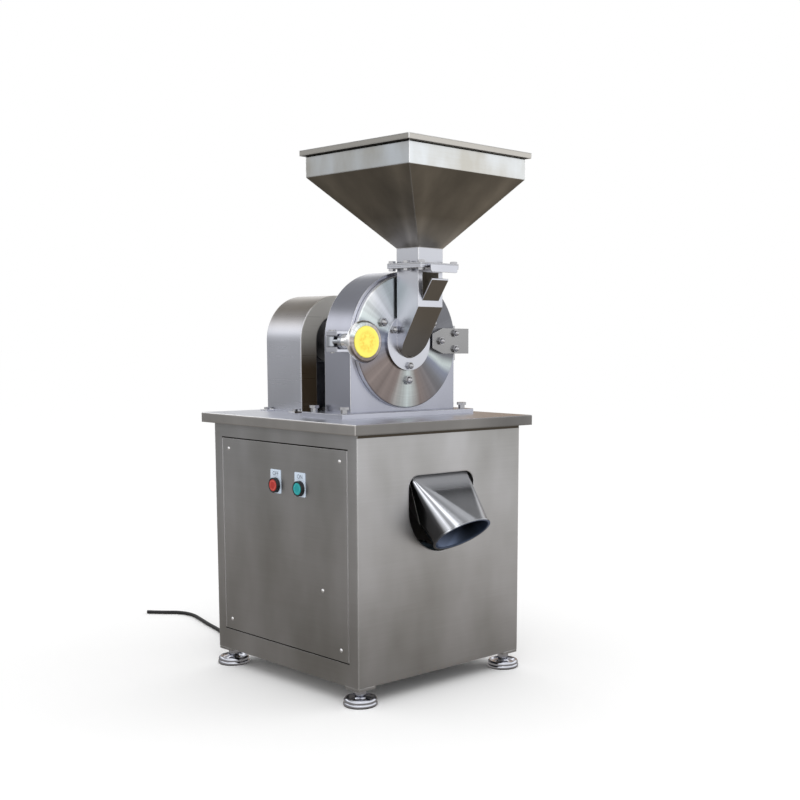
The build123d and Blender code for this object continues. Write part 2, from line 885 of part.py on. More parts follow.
with BuildPart() as stator_disc:
    with BuildSketch(mill_face(stator_front)):
        Circle(stator_radius)
        Circle(stator_hole_radius, mode=Mode.SUBTRACT)
        with Locations(*stator_bolts):
            Circle(small_bolt[2] + bolt_room, mode=Mode.SUBTRACT)
    extrude(amount=stator_thick)
    with BuildSketch(mill_face(stator_tip)):
        for row, count in zip(stator_rows, stator_counts):
            with PolarLocations(row, count):
                Rectangle(tooth_radial, tooth_width)
    extrude(amount=tooth_length)
write(stator_disc, "stator_disc")

# Toothed rotor on its shaft
with BuildPart() as rotor_disc:
    with BuildSketch(mill_face(rotor_back)):
        Circle(rotor_radius)
    extrude(amount=rotor_thick)
    with BuildSketch(mill_face(rotor_face)):
        for row, count in zip(rotor_rows, rotor_counts):
            with PolarLocations(row, count):
                Rectangle(tooth_radial, tooth_width)
    extrude(amount=tooth_length)
    with BuildSketch(mill_face(rotor_back + rotor_hub_length)):
        Circle(rotor_hub_radius)
    extrude(amount=rotor_hub_length)
    with BuildSketch(mill_face(rotor_back + rotor_hub_length)):
        Circle(shaft_end_radius + running_fit)
    extrude(amount=rotor_hub_length + rotor_thick, mode=Mode.SUBTRACT)
write(rotor_disc, "rotor_disc")

hub_back = rotor_back + rotor_hub_length
with BuildPart() as rotor_shaft:
    with BuildSketch(mill_side):
        with BuildLine():
            Polyline(
                (rotor_face - rotor_nut_length + rotor_nut_end, 0),
                (rotor_face - rotor_nut_length + rotor_nut_end, shaft_thread_radius),
                (rotor_face, shaft_thread_radius),
                (rotor_face, shaft_end_radius),
                (hub_back, shaft_end_radius),
                (hub_back, shaft_bearing_radius),
                (cap_back, shaft_bearing_radius),
                (cap_back, shaft_end_radius),
                (pulley_back + shaft_stub, shaft_end_radius),
                (pulley_back + shaft_stub, 0),
                close=True,
            )
        make_face()
    revolve(axis=mill_axis)
write(rotor_shaft, "rotor_shaft")

with BuildPart() as rotor_nut:
    with BuildSketch(mill_face(rotor_face)):
        RegularPolygon(rotor_nut_across / 2, 6, major_radius=False)
    extrude(amount=rotor_nut_length)
    fillet(rotor_nut.faces().sort_by(Axis.Y)[0].edges(), rotor_nut_round)
    with BuildSketch(mill_face(rotor_face)):
        Circle(shaft_thread_radius + running_fit)
    extrude(amount=rotor_nut_length - rotor_nut_end, mode=Mode.SUBTRACT)
write(rotor_nut, "rotor_nut")

with BuildPart() as screen_ring:
    with BuildSketch(mill_face(cavity_back - free_gap)):
        Circle(screen_inner + screen_wall)
        Circle(screen_inner, mode=Mode.SUBTRACT)
    extrude(amount=cavity_back - free_gap - door_back - screen_front_gap)
    with BuildSketch(mill_face((cavity_back + door_back) / 2 + screen_slot_length / 2)):
        with PolarLocations(screen_inner + screen_wall / 2, screen_slots):
            Rectangle(3 * screen_wall, screen_slot_width)
    extrude(amount=screen_slot_length, mode=Mode.SUBTRACT)
write(screen_ring, "screen_ring")

# Bearing housing on its pedestal, with bearings, cap and shaft seal
front_bearing_y = chamber_back + housing_flange_thick
rear_bearing_y = housing_back - bearing_inset - bearing_width
with BuildPart() as bearing_housing:
    with BuildSketch(mill_side):
        with BuildLine():
            Polyline(
                (chamber_back, 0),
                (chamber_back, housing_flange_radius),
                (front_bearing_y, housing_flange_radius),
                (front_bearing_y, housing_radius),
                (rear_bearing_y, housing_radius),
                (rear_bearing_y, cap_radius),
                (housing_back, cap_radius),
                (housing_back, 0),
                close=True,
            )
        make_face()
    revolve(axis=mill_axis)
    with BuildSketch(mill_face(pedestal_y + pedestal_web / 2)):
        with BuildLine():
            Polyline(
                (-housing_radius * pedestal_neck, 0),
                (pedestal_slant - pedestal_foot_width / 2, -mill_rise),
                (pedestal_foot_width / 2 - pedestal_slant, -mill_rise),
                (housing_radius * pedestal_neck, 0),
                close=True,
            )
        make_face()
    extrude(amount=pedestal_web)
    with BuildSketch(level(table_height)):
        with Locations((mill_x, pedestal_y)):
            RectangleRounded(pedestal_foot_width, pedestal_foot_depth, 2 * table_corner)
    extrude(amount=pedestal_foot_thick)
    with BuildSketch(level(table_height)):
        with Locations(*pedestal_bolts):
            Circle(large_bolt[2] + bolt_room)
    extrude(amount=pedestal_foot_thick, mode=Mode.SUBTRACT)
    with BuildSketch(mill_face(housing_back)):
        Circle(housing_waist)
    extrude(amount=housing_length, mode=Mode.SUBTRACT)
    for bearing_y in (front_bearing_y, rear_bearing_y):
        with BuildSketch(mill_face(bearing_y + bearing_width)):
            Circle(housing_bore)
        extrude(amount=bearing_width, mode=Mode.SUBTRACT)
    with BuildSketch(mill_face(housing_back)):
        Circle(housing_bore)
    extrude(amount=bearing_inset, mode=Mode.SUBTRACT)
write(bearing_housing, "bearing_housing")

with BuildPart() as bearings:
    for bearing_y in (front_bearing_y, rear_bearing_y):
        with BuildSketch(mill_face(bearing_y + bearing_width)):
            Circle(housing_bore - running_fit)
            Circle(shaft_bearing_radius + running_fit, mode=Mode.SUBTRACT)
        extrude(amount=bearing_width)
write(bearings, "bearings")

with BuildPart() as bearing_cap:
    with BuildSketch(mill_face(cap_back)):
        Circle(cap_radius)
        Circle(shaft_bearing_radius + running_fit, mode=Mode.SUBTRACT)
    extrude(amount=cap_thick)
    with BuildSketch(mill_face(housing_back)):
        Circle(housing_bore - running_fit)
        Circle(shaft_bearing_radius + running_fit, mode=Mode.SUBTRACT)
    extrude(amount=bearing_inset - free_gap)
write(bearing_cap, "bearing_cap")

with BuildPart() as shaft_seal:
    with BuildSketch(mill_face(chamber_back)):
        Circle(seal_bore - running_fit)
        Circle(shaft_bearing_radius + running_fit, mode=Mode.SUBTRACT)
    extrude(amount=chamber_back_wall)
write(shaft_seal, "shaft_seal")

# Bolts into the table
with BuildPart() as table_bolts:
    with BuildSketch(level(plate_top)) as collars:
        with Locations(*base_bolts):
            Circle(base_collar_radius)
    extrude(collars.sketch, amount=base_collar_height)
    base_shank = base_collar_height + base_plate_thick + table_sheet
    add_bolts(level(plate_top + base_collar_height), base_bolts, base_bolt, base_shank)
    foot_top = table_height + pedestal_foot_thick
    add_bolts(level(foot_top), pedestal_bolts, large_bolt, pedestal_foot_thick + table_sheet)
    tab_top = table_height + guard_tab_thick
    add_bolts(level(tab_top), guard_tabs, small_bolt, guard_tab_thick + table_sheet)
write(table_bolts, "table_bolts")

# Belt drive: grooved pulleys and two V-belts
groove_slope = math.tan(math.radians(groove_half_angle))
groove_bottom = groove_top - 2 * groove_depth * groove_slope
groove_centres = (pulley_y - groove_pitch / 2, pulley_y + groove_pitch / 2)


def pulley_outline(radius):
    """Closed outline of a grooved pulley, as pairs of place along the shaft and radius."""
    points = [(pulley_front, 0), (pulley_front, radius)]
    for centre in groove_centres:
        points.append((centre - groove_top / 2, radius))
        points.append((centre - groove_bottom / 2, radius - groove_depth))
        points.append((centre + groove_bottom / 2, radius - groove_depth))
        points.append((centre + groove_top / 2, radius))
    return points + [(pulley_back, radius), (pulley_back, 0)]


with BuildPart() as shaft_pulley:
    with BuildSketch(mill_side):
        with BuildLine():
            Polyline(*pulley_outline(shaft_pulley_radius), close=True)
        make_face()
    revolve(axis=mill_axis)
    with BuildSketch(mill_face(pulley_back)):
        Circle(shaft_end_radius + running_fit)
    extrude(amount=pulley_width, mode=Mode.SUBTRACT)
write(shaft_pulley, "shaft_pulley")

with BuildPart() as motor_pulley:
    with BuildSketch(motor_side):
        with BuildLine():
            Polyline(*pulley_outline(motor_pulley_radius), close=True)
        make_face()
    revolve(axis=motor_axis)
    with BuildSketch(Plane(origin=(mill_x, pulley_back, motor_z), x_dir=(1, 0, 0), z_dir=(0, -1, 0))):
        Circle(motor_shaft_radius + running_fit)
    extrude(amount=pulley_width, mode=Mode.SUBTRACT)
write(motor_pulley, "motor_pulley")

centre_distance = mill_z - motor_z
belt_upper = shaft_pulley_radius - belt_sink
belt_lower = motor_pulley_radius - belt_sink
wrap = math.asin((belt_lower - belt_upper) / centre_distance)
belt_bottom = belt_top - 2 * belt_height * groove_slope
with BuildPart() as v_belts:
    for centre in groove_centres:
        upper_right = (belt_upper * math.cos(wrap), belt_upper * math.sin(wrap))
        lower_right = (belt_lower * math.cos(wrap), belt_lower * math.sin(wrap) - centre_distance)
        upper_left = (-upper_right[0], upper_right[1])
        lower_left = (-lower_right[0], lower_right[1])
        with BuildLine(mill_face(centre)) as belt_loop:
            Line(lower_right, upper_right)
            ThreePointArc(upper_right, (0, belt_upper), upper_left)
            Line(upper_left, lower_left)
            ThreePointArc(lower_left, (0, -belt_lower - centre_distance), lower_right)
        along = belt_loop.line.edges()[0].tangent_at(0)
        start = belt_loop.line.edges()[0].position_at(0)
        with BuildSketch(Plane(origin=start, x_dir=(0, 1, 0), z_dir=along)) as belt_section:
            with BuildLine():
                Polyline(
                    (-belt_top / 2, 0),
                    (belt_top / 2, 0),
                    (belt_bottom / 2, belt_height),
                    (-belt_bottom / 2, belt_height),
                    close=True,
                )
            make_face()
        sweep(belt_section.sketch, path=belt_loop.wires()[0])
write(v_belts, "v_belts")

# Motor on its base
with BuildPart() as motor_base:
    with BuildSketch(level(cross_top)):
        with Locations((mill_x, motor_y)):
            Rectangle(motor_base_width, motor_base_depth)
    extrude(amount=motor_base_thick)
write(motor_base, "motor_base")

with BuildPart() as motor_body:
    motor_end = Plane(origin=(mill_x, motor_front, motor_z), x_dir=(1, 0, 0), z_dir=(0, -1, 0))
    with BuildSketch(motor_end):
        Circle(motor_radius)
        with PolarLocations(motor_radius, motor_fins):
            Rectangle(2 * motor_fin, motor_fin_width)
    extrude(amount=motor_length)
    with BuildSketch(motor_end):
        Circle(shield_radius)
    extrude(amount=-shield_length, taper=10)
    with BuildSketch(level(motor_base_top)):
        for side in (-1, 1):
            with Locations((mill_x + side * motor_foot_spread / 2, motor_y)):
                Rectangle(motor_foot_width, motor_foot_length)
    extrude(amount=motor_foot_thick)
    with BuildSketch(level(motor_base_top)):
        for side in (-1, 1):
            with Locations((mill_x + side * motor_foot_spread / 3, motor_y)):
                Rectangle(motor_foot_width / 2, motor_foot_length)
    extrude(amount=motor_height - motor_radius / 2)
    with BuildSketch(side_view(mill_x + motor_radius / 2)):
        with Locations((motor_y, motor_z + motor_radius / 4)):
            RectangleRounded(terminal_depth, terminal_height, 2 * table_corner)
    extrude(amount=motor_radius / 2 + terminal_width)
    with BuildSketch(motor_end):
        Circle(motor_shaft_radius + running_fit)
    extrude(amount=-shield_length, mode=Mode.SUBTRACT)
    with BuildSketch(motor_end):
        Circle(motor_shaft_radius + running_fit)
    extrude(amount=motor_length / 4, mode=Mode.SUBTRACT)
write(motor_body, "motor_body")

cowl_front = motor_front - motor_length
with BuildPart() as fan_cowl:
    with BuildSketch(Plane(origin=(mill_x, cowl_front, motor_z), x_dir=(1, 0, 0), z_dir=(0, -1, 0))):
        Circle(cowl_radius)
    extrude(amount=cowl_length)
    fillet(fan_cowl.faces().sort_by(Axis.Y)[0].edges(), cowl_round)
write(fan_cowl, "fan_cowl")

shaft_back = pulley_back + shaft_stub
with BuildPart() as motor_shaft:
    with BuildSketch(Plane(origin=(mill_x, shaft_back, motor_z), x_dir=(1, 0, 0), z_dir=(0, -1, 0))):
        Circle(motor_shaft_radius)
    extrude(amount=shaft_back - motor_front + motor_length / 4 - free_gap)
write(motor_shaft, "motor_shaft")

# Arched belt guard
with BuildPart() as belt_guard:
    with BuildSketch(mill_face(guard_front + guard_depth)):
        Circle(guard_radius)
        Rectangle(2 * guard_radius, mill_rise, align=(Align.CENTER, Align.MAX))
    extrude(amount=guard_depth)
    for face in (belt_guard.faces().sort_by(Axis.Y)[0], belt_guard.faces().sort_by(Axis.Y)[-1]):
        fillet(face.edges().group_by(Axis.Z)[1:], guard_corner)
    with BuildSketch(mill_face(guard_front + guard_depth - guard_sheet)):
        Circle(guard_radius - guard_sheet)
        Rectangle(2 * (guard_radius - guard_sheet), mill_rise, align=(Align.CENTER, Align.MAX))
    extrude(amount=guard_depth - 2 * guard_sheet, mode=Mode.SUBTRACT)
    with BuildSketch(mill_face(guard_front + guard_sheet)):
        Circle(guard_mouth_radius)
        Rectangle(2 * guard_mouth_radius, mill_rise, align=(Align.CENTER, Align.MAX))
    extrude(amount=guard_sheet, mode=Mode.SUBTRACT)
    with BuildSketch(level(table_height)):
        with Locations(*guard_tabs):
            Rectangle(guard_tab_reach, guard_tab)
            Circle(small_bolt[2] + bolt_room, mode=Mode.SUBTRACT)
    extrude(amount=guard_tab_thick)
write(belt_guard, "belt_guard")

# Feed duct: a U-shaped tube whose sloped front leads into the door's feed hole
gate_bolts = corner_places(
    (mill_x, flange_y), flange_width - 2 * gate_bolt_inset, flange_depth - 2 * gate_bolt_inset
)
for side in (-1, 1):
    gate_bolts.append((mill_x + side * (flange_width / 2 - gate_bolt_inset), flange_y))
slope_end = mill_z - duct_width / 2
slope = (duct_slope_top - slope_end) / duct_depth


def duct_side(wall):
    """Side outline of the duct as pairs of depth and height, drawn in by a wall."""
    floor = slope_end + wall * math.hypot(1, slope)
    return [
        (duct_back - wall, duct_top + wall),
        (duct_front + wall, duct_top + wall),
        (duct_front + wall, floor + slope * (duct_depth - wall)),
        (duct_back - wall, floor + slope * wall),
    ]


with BuildPart() as duct_inside:
    with BuildSketch(side_view(mill_x - duct_width)):
        with BuildLine():
            Polyline(*duct_side(duct_wall), close=True)
        make_face()
    extrude(amount=2 * duct_width)
    with BuildSketch(mill_face(duct_back)):
        Circle(duct_width / 2 - duct_wall)
        Rectangle(duct_width - 2 * duct_wall, duct_top, align=(Align.CENTER, Align.MIN))
    extrude(amount=duct_depth, mode=Mode.INTERSECT)

with BuildPart() as feed_duct:
    with BuildSketch(side_view(mill_x - duct_width)):
        with BuildLine():
            Polyline(*duct_side(0), close=True)
        make_face()
    extrude(amount=2 * duct_width)
    with BuildSketch(mill_face(duct_back)):
        Circle(duct_width / 2)
        Rectangle(duct_width, duct_top, align=(Align.CENTER, Align.MIN))
    extrude(amount=duct_depth, mode=Mode.INTERSECT)
    with BuildSketch(level(flange_low)):
        with Locations((mill_x, flange_y)):
            RectangleRounded(flange_width, flange_depth, table_corner)
    extrude(amount=flange_thick)
    with BuildSketch(mill_face(door_front)):
        Circle(duct_flange_radius)
    extrude(amount=duct_flange_thick)
    add(duct_inside.part, mode=Mode.SUBTRACT)
    with BuildSketch(level(flange_low)):
        with Locations((mill_x, duct_y)):
            Rectangle(duct_width - 2 * duct_wall, duct_depth - 2 * duct_wall)
    extrude(amount=flange_thick, mode=Mode.SUBTRACT)
    with BuildSketch(mill_face(door_front)):
        Circle(feed_hole_radius)
    extrude(amount=duct_flange_thick + duct_wall, mode=Mode.SUBTRACT)
    with BuildSketch(front_view(duct_front + duct_wall)):
        with Locations((mill_x, (intake_bottom + intake_top) / 2)):
            Rectangle(intake_width, intake_top - intake_bottom)
    extrude(amount=duct_wall, mode=Mode.SUBTRACT)
    with BuildSketch(level(flange_low)):
        with Locations(*gate_bolts):
            Circle(small_bolt[2] + bolt_room)
    extrude(amount=flange_thick, mode=Mode.SUBTRACT)
    with BuildSketch(mill_face(door_front)):
        with Locations(*duct_bolts):
            Circle(small_bolt[2] + bolt_room)
    extrude(amount=duct_flange_thick, mode=Mode.SUBTRACT)
write(feed_duct, "feed_duct")

# Inclined lip of the air intake
lip_length = math.hypot(lip_reach, lip_rise)
lip_along = (-lip_reach / lip_length, lip_rise / lip_length)
with BuildPart() as intake_lip:
    with BuildSketch(side_view(mill_x - intake_width / 2)):
        with BuildLine():
            Polyline(
                (duct_front, intake_bottom),
                (duct_front, intake_bottom - lip_thick / lip_along[1]),
                (duct_front - lip_reach, intake_bottom + lip_rise - lip_thick / lip_along[1]),
                (duct_front - lip_reach, intake_bottom + lip_rise),
                close=True,
            )
        make_face()
    extrude(amount=intake_width)
write(intake_lip, "intake_lip")

# Slide gate between the duct's flange and the hopper's flange
with BuildPart() as gate_frame:
    with BuildSketch(level(gate_floor)):
        with Locations((mill_x, flange_y)):
            RectangleRounded(flange_width, flange_depth, table_corner)
        slot_back = gate_back + free_gap
        slot_length = slot_back - flange_y_front + 2 * table_corner
        with Locations((mill_x, (slot_back + flange_y_front) / 2 - table_corner)):
            Rectangle(gate_width + 2 * free_gap, slot_length, mode=Mode.SUBTRACT)
        with Locations(*gate_bolts):
            Circle(small_bolt[2] + bolt_room, mode=Mode.SUBTRACT)
    extrude(amount=gate_slot)
write(gate_frame, "gate_frame")

gate_low = gate_floor + free_gap
gate_high = gate_low + gate_thick
with BuildPart() as slide_gate:
    with BuildSketch(level(gate_low)):
        with Locations((mill_x, (gate_back + gate_front) / 2)):
            Rectangle(gate_width, gate_back - gate_front)
    extrude(amount=gate_thick)
    with BuildSketch(front_view(gate_front + gate_thick)):
        with Locations((mill_x, gate_high - gate_lip_height / 2)):
            Rectangle(gate_width, gate_lip_height)
    extrude(amount=gate_thick)
    lip_corners = slide_gate.edges().filter_by(Axis.Y).group_by(Axis.Z)[0]
    fillet(lip_corners, gate_lip_round)
write(slide_gate, "slide_gate")

# Hopper: folded rim, upright skirt, cone and neck with a flange
with BuildPart() as hopper_inside:
    with BuildSketch(level(hopper_cone_bottom)):
        with Locations((mill_x, neck_y)):
            Rectangle(hopper_neck - 2 * hopper_wall, hopper_neck - 2 * hopper_wall)
    with BuildSketch(level(hopper_skirt_bottom)):
        with Locations((mill_x, hopper_y)):
            Rectangle(hopper_width - 2 * hopper_wall, hopper_width - 2 * hopper_wall)
    loft(ruled=True)
    with BuildSketch(level(hopper_skirt_bottom)):
        with Locations((mill_x, hopper_y)):
            Rectangle(hopper_width - 2 * hopper_wall, hopper_width - 2 * hopper_wall)
    extrude(amount=hopper_top - hopper_skirt_bottom)
    with BuildSketch(level(gate_roof)):
        with Locations((mill_x, neck_y)):
            Rectangle(hopper_neck - 2 * hopper_wall, hopper_neck - 2 * hopper_wall)
    extrude(amount=hopper_cone_bottom - gate_roof)

with BuildPart() as hopper:
    with BuildSketch(level(hopper_cone_bottom)):
        with Locations((mill_x, neck_y)):
            Rectangle(hopper_neck, hopper_neck)
    with BuildSketch(level(hopper_skirt_bottom)):
        with Locations((mill_x, hopper_y)):
            Rectangle(hopper_width, hopper_width)
    loft(ruled=True)
    with BuildSketch(level(hopper_skirt_bottom)):
        with Locations((mill_x, hopper_y)):
            Rectangle(hopper_width, hopper_width)
    extrude(amount=hopper_top - hopper_skirt_bottom)
    with BuildSketch(level(gate_roof)):
        with Locations((mill_x, neck_y)):
            Rectangle(hopper_neck, hopper_neck)
    extrude(amount=hopper_cone_bottom - gate_roof)
    with BuildSketch(level(gate_roof)):
        with Locations((mill_x, flange_y)):
            RectangleRounded(flange_width, flange_depth, table_corner)
        with Locations(*gate_bolts):
            Circle(small_bolt[2] + bolt_room, mode=Mode.SUBTRACT)
    extrude(amount=flange_thick)
    rim_width = hopper_width + 2 * rim_overhang
    with BuildSketch(level(hopper_top - rim_height)):
        with Locations((mill_x, hopper_y)):
            Rectangle(rim_width, rim_width)
            Rectangle(rim_width - 2 * hopper_wall, rim_width - 2 * hopper_wall, mode=Mode.SUBTRACT)
    extrude(amount=rim_height)
    with BuildSketch(level(hopper_top - hopper_wall)):
        with Locations((mill_x, hopper_y)):
            Rectangle(rim_width, rim_width)
    extrude(amount=hopper_wall)
    add(hopper_inside.part, mode=Mode.SUBTRACT)
write(hopper, "hopper")

# Door hinge: strap with its knuckle, lugs on the chamber's side
strap_right = hinge_x + knuckle_radius / 2
strap_bolts = [
    (strap_left + strap_bolt_near, hinge_z),
    (strap_left + strap_bolt_far, hinge_z + strap_bolt_spread),
    (strap_left + strap_bolt_far, hinge_z - strap_bolt_spread),
]
lug_levels = (hinge_low + hinge_lug_inset, hinge_high - hinge_lug_inset - hinge_lug_thick)
knuckle_low = lug_levels[0] + hinge_lug_thick + free_gap
knuckle_high = lug_levels[1] - free_gap
with BuildPart() as hinge_strap:
    with BuildSketch(front_view(strap_back)):
        with BuildLine():
            Polyline(
                (strap_left + strap_taper, hinge_low),
                (strap_right, hinge_low),
                (strap_right, hinge_high),
                (strap_left + strap_taper, hinge_high),
                (strap_left, hinge_z + strap_nose / 2),
                (strap_left, hinge_z - strap_nose / 2),
                close=True,
            )
        make_face()
        with Locations(*strap_bolts):
            Circle(small_bolt[2] + bolt_room, mode=Mode.SUBTRACT)
    extrude(amount=strap_thick)
    with BuildSketch(level(knuckle_low)):
        with Locations((hinge_x, hinge_y)):
            Circle(knuckle_radius)
        with Locations((hinge_x, (hinge_y + strap_back) / 2)):
            Rectangle(2 * knuckle_radius, hinge_y - strap_back)
        with Locations((hinge_x, hinge_y)):
            Circle(hinge_pin_radius + running_fit, mode=Mode.SUBTRACT)
    extrude(amount=knuckle_high - knuckle_low)
write(hinge_strap, "hinge_strap")

with BuildPart() as hinge_lugs:
    for z in lug_levels:
        with BuildSketch(level(z)):
            with Locations((hinge_x, hinge_y)):
                Circle(hinge_lug_radius)
                Rectangle(2 * hinge_reach, 2 * hinge_lug_radius, align=(Align.MAX, Align.CENTER))
                Circle(hinge_pin_radius + running_fit, mode=Mode.SUBTRACT)
        extrude(amount=hinge_lug_thick)
    with BuildSketch(mill_face(chamber_back)):
        Circle(chamber_radius)
        Rectangle(2 * chamber_radius, chamber_radius, align=(Align.CENTER, Align.MAX))
    extrude(amount=chamber_depth, mode=Mode.SUBTRACT)
write(hinge_lugs, "hinge_lugs")

# Clevis of the lock on the chamber's left side
lock_lug_heights = (lock_z - lock_spread, lock_z + lock_spread - lock_lug_thick)
with BuildPart() as clevis_lugs:
    for z in lock_lug_heights:
        with BuildSketch(level(z)):
            with Locations((lock_x, lock_pivot_y)):
                Circle(lock_lug_radius)
                Rectangle(2 * lock_reach, 2 * lock_lug_radius, align=(Align.MIN, Align.CENTER))
            with Locations((lock_x - lock_lug_radius, lock_pivot_y)):
                Rectangle(lock_lug_radius + 2 * lock_reach, lock_lug_reach, align=(Align.MIN, Align.MAX))
            with Locations((lock_x, lock_pivot_y)):
                Circle(lock_pin_radius + running_fit, mode=Mode.SUBTRACT)
        extrude(amount=lock_lug_thick)
    with BuildSketch(mill_face(chamber_back)):
        Circle(chamber_radius)
        Rectangle(2 * chamber_radius, chamber_radius, align=(Align.CENTER, Align.MAX))
    extrude(amount=chamber_back - lock_pivot_y + lock_lug_reach, mode=Mode.SUBTRACT)
write(clevis_lugs, "clevis_lugs")

hinge_pin_low = hinge_low - hinge_pin_below
hinge_pin_high = hinge_high + hinge_pin_above
hinge_pin_seat = lug_levels[1] + hinge_lug_thick
lock_pin_low = lock_z - lock_spread - pin_overhang
lock_pin_high = lock_z + lock_spread + pin_overhang
with BuildPart() as hinge_pins:
    for x, y, low, high, seat, radius in (
        (hinge_x, hinge_y, hinge_pin_low, hinge_pin_high, hinge_pin_seat, hinge_pin_radius),
        (lock_x, lock_pivot_y, lock_pin_low, lock_pin_high, lock_z + lock_spread, lock_pin_radius),
    ):
        with BuildSketch(level(low)):
            with Locations((x, y)):
                Circle(radius)
        extrude(amount=high - low)
        with BuildSketch(level(seat)):
            with Locations((x, y)):
                Circle(radius + pin_head)
        extrude(amount=pin_overhang)
write(hinge_pins, "hinge_pins")

# Swing bolt, clamp claw and hand knob of the lock
eye_half = lock_spread - lock_lug_thick - free_gap
rod_end = knob_front + knob_disc / 2
with BuildPart() as swing_bolt:
    with BuildSketch(level(lock_z - eye_half)):
        with Locations((lock_x, lock_pivot_y)):
            Circle(bolt_eye_radius)
    extrude(amount=2 * eye_half)
    with BuildSketch(Plane(origin=(lock_x, lock_pivot_y, lock_z), x_dir=(1, 0, 0), z_dir=(0, -1, 0))):
        Circle(bolt_rod_radius)
    extrude(amount=lock_pivot_y - rod_end)
    with BuildSketch(level(lock_z - eye_half)):
        with Locations((lock_x, lock_pivot_y)):
            Circle(lock_pin_radius + running_fit)
    extrude(amount=2 * eye_half, mode=Mode.SUBTRACT)
write(swing_bolt, "swing_bolt")

claw_nose = mill_x - door_radius - claw_clear
with BuildPart() as clamp_claw:
    with BuildSketch(front_view(claw_back)):
        with Locations((lock_x, lock_z)):
            Circle(claw_ring)
        with Locations(((lock_x + claw_nose) / 2, lock_z)):
            Rectangle(claw_nose - lock_x, claw_height)
        with Locations((lock_x, lock_z)):
            Circle(bolt_rod_radius + running_fit, mode=Mode.SUBTRACT)
    extrude(amount=claw_thick)
write(clamp_claw, "clamp_claw")

disc_back = knob_front + knob_disc
bore = bolt_rod_radius + running_fit
with BuildPart() as clamp_knob:
    with BuildSketch(lock_side):
        with BuildLine():
            Polyline(
                (knob_back, bore),
                (knob_back, knob_hub_radius),
                (knob_back - knob_shoulder, knob_hub_radius),
                (disc_back + knob_shoulder, knob_neck_radius),
                (disc_back, knob_radius - knob_round),
            )
            ThreePointArc(
                (disc_back, knob_radius - knob_round),
                (disc_back - knob_disc / 2, knob_radius),
                (knob_front, knob_radius - knob_round),
            )
            Polyline(
                (knob_front, knob_radius - knob_round),
                (knob_front, knob_cap_radius),
                (knob_front + knob_cap_thick, knob_cap_radius),
                (knob_front + knob_cap_thick, bore),
                (knob_back, bore),
            )
        make_face()
    revolve(axis=lock_axis)
write(clamp_knob, "clamp_knob")

with BuildPart() as knob_cap:
    cap_seat = (lock_x, knob_front + knob_cap_thick, lock_z)
    with BuildSketch(Plane(origin=cap_seat, x_dir=(1, 0, 0), z_dir=(0, -1, 0))):
        Circle(knob_cap_radius - running_fit)
    extrude(amount=knob_cap_thick + knob_cap_proud)
    fillet(knob_cap.faces().sort_by(Axis.Y)[0].edges(), knob_cap_proud * 0.8)
write(knob_cap, "knob_cap")

# Fasteners that ride on the door
with BuildPart() as door_bolts:
    add_dome_nuts(door_front, on_mill(stator_bolts), stator_nut, door_thick + stator_thick)
    add_dome_nuts(duct_back, on_mill(duct_bolts), door_nut, duct_flange_thick)
    add_dome_nuts(strap_front, strap_bolts, door_nut, strap_thick)
    add_bolts(level(flange_high), gate_bolts, gate_bolt, flange_high - flange_low)
    add_nuts(level(flange_low), gate_bolts, gate_bolt)
write(door_bolts, "door_bolts")


# Discharge spout: a box chute below the throat, then a square-to-round mouth with a bead
bend_tilt = math.radians(spout_bend_tilt)
bend_up = (math.sin(-bend_tilt), math.cos(bend_tilt))
bend_plane = Plane(
    origin=(spout_x, spout_bend_y, spout_bend_z),
    x_dir=(1, 0, 0),
    z_dir=(0, -math.cos(bend_tilt), -math.sin(bend_tilt)),
)
mouth_plane = Plane(
    origin=(spout_x, mouth_y, mouth_z),
    x_dir=(1, 0, 0),
    z_dir=(0, -math.cos(mouth_slant), -math.sin(mouth_slant)),
)
neck_plane = mouth_plane.offset(-bead_height)
round_flat = 2  # short straight runs let the round mouth match the corners of the bend


def chute_side(wall):
    """Side outline of the box chute as pairs of depth and height, drawn out by a wall."""
    half = spout_bend_height / 2 + wall
    return [
        (outlet_y + throat_depth / 2 + wall, cabinet_top),
        (spout_bend_y - half * bend_up[0], spout_bend_z - half * bend_up[1]),
        (spout_bend_y + half * bend_up[0], spout_bend_z + half * bend_up[1]),
        (outlet_y - throat_depth / 2 - wall, cabinet_top),
    ]


def add_section(low, high, tall, corner):
    """Draws a four-sided section with rounded corners from its lower and upper widths."""
    with BuildLine() as outline:
        Polyline(
            (-low / 2, -tall / 2),
            (low / 2, -tall / 2),
            (high / 2, tall / 2),
            (-high / 2, tall / 2),
            close=True,
        )
    face = make_face(outline.edges())
    fillet(face.vertices(), corner)


def add_bend(wall):
    """Draws the section where the chute meets the mouth, drawn out by a wall."""
    low = chute_width + 2 * wall
    high = spout_bend_width + 2 * wall
    add_section(low, high, spout_bend_height + 2 * wall, spout_bend_corner + wall)


def add_mouth(plane, bend_wall, mouth_wall, mode):
    """Adds or cuts the square-to-round body from a plane, with its ends drawn out by a wall."""
    across = 2 * (mouth_radius + mouth_wall)
    with BuildSketch(plane) as bend_section:
        add_bend(bend_wall)
    with BuildSketch(neck_plane) as mouth_section:
        add_section(across, across, across, across / 2 - round_flat / 2)
    loft([bend_section.sketch, mouth_section.sketch], ruled=True, mode=mode)


with BuildPart() as discharge_spout:
    add_mouth(bend_plane, spout_wall, spout_wall, Mode.ADD)
    add_mouth(bend_plane.offset(spout_wall), -spout_wall / 2, 0, Mode.SUBTRACT)
    with BuildSketch(bend_plane):
        add_bend(-spout_wall / 2)
    extrude(amount=spout_wall, mode=Mode.SUBTRACT)
    with BuildSketch(neck_plane):
        Circle(bead_radius)
        Circle(mouth_radius - bead_inset, mode=Mode.SUBTRACT)
    extrude(amount=bead_height)
write(discharge_spout, "discharge_spout")

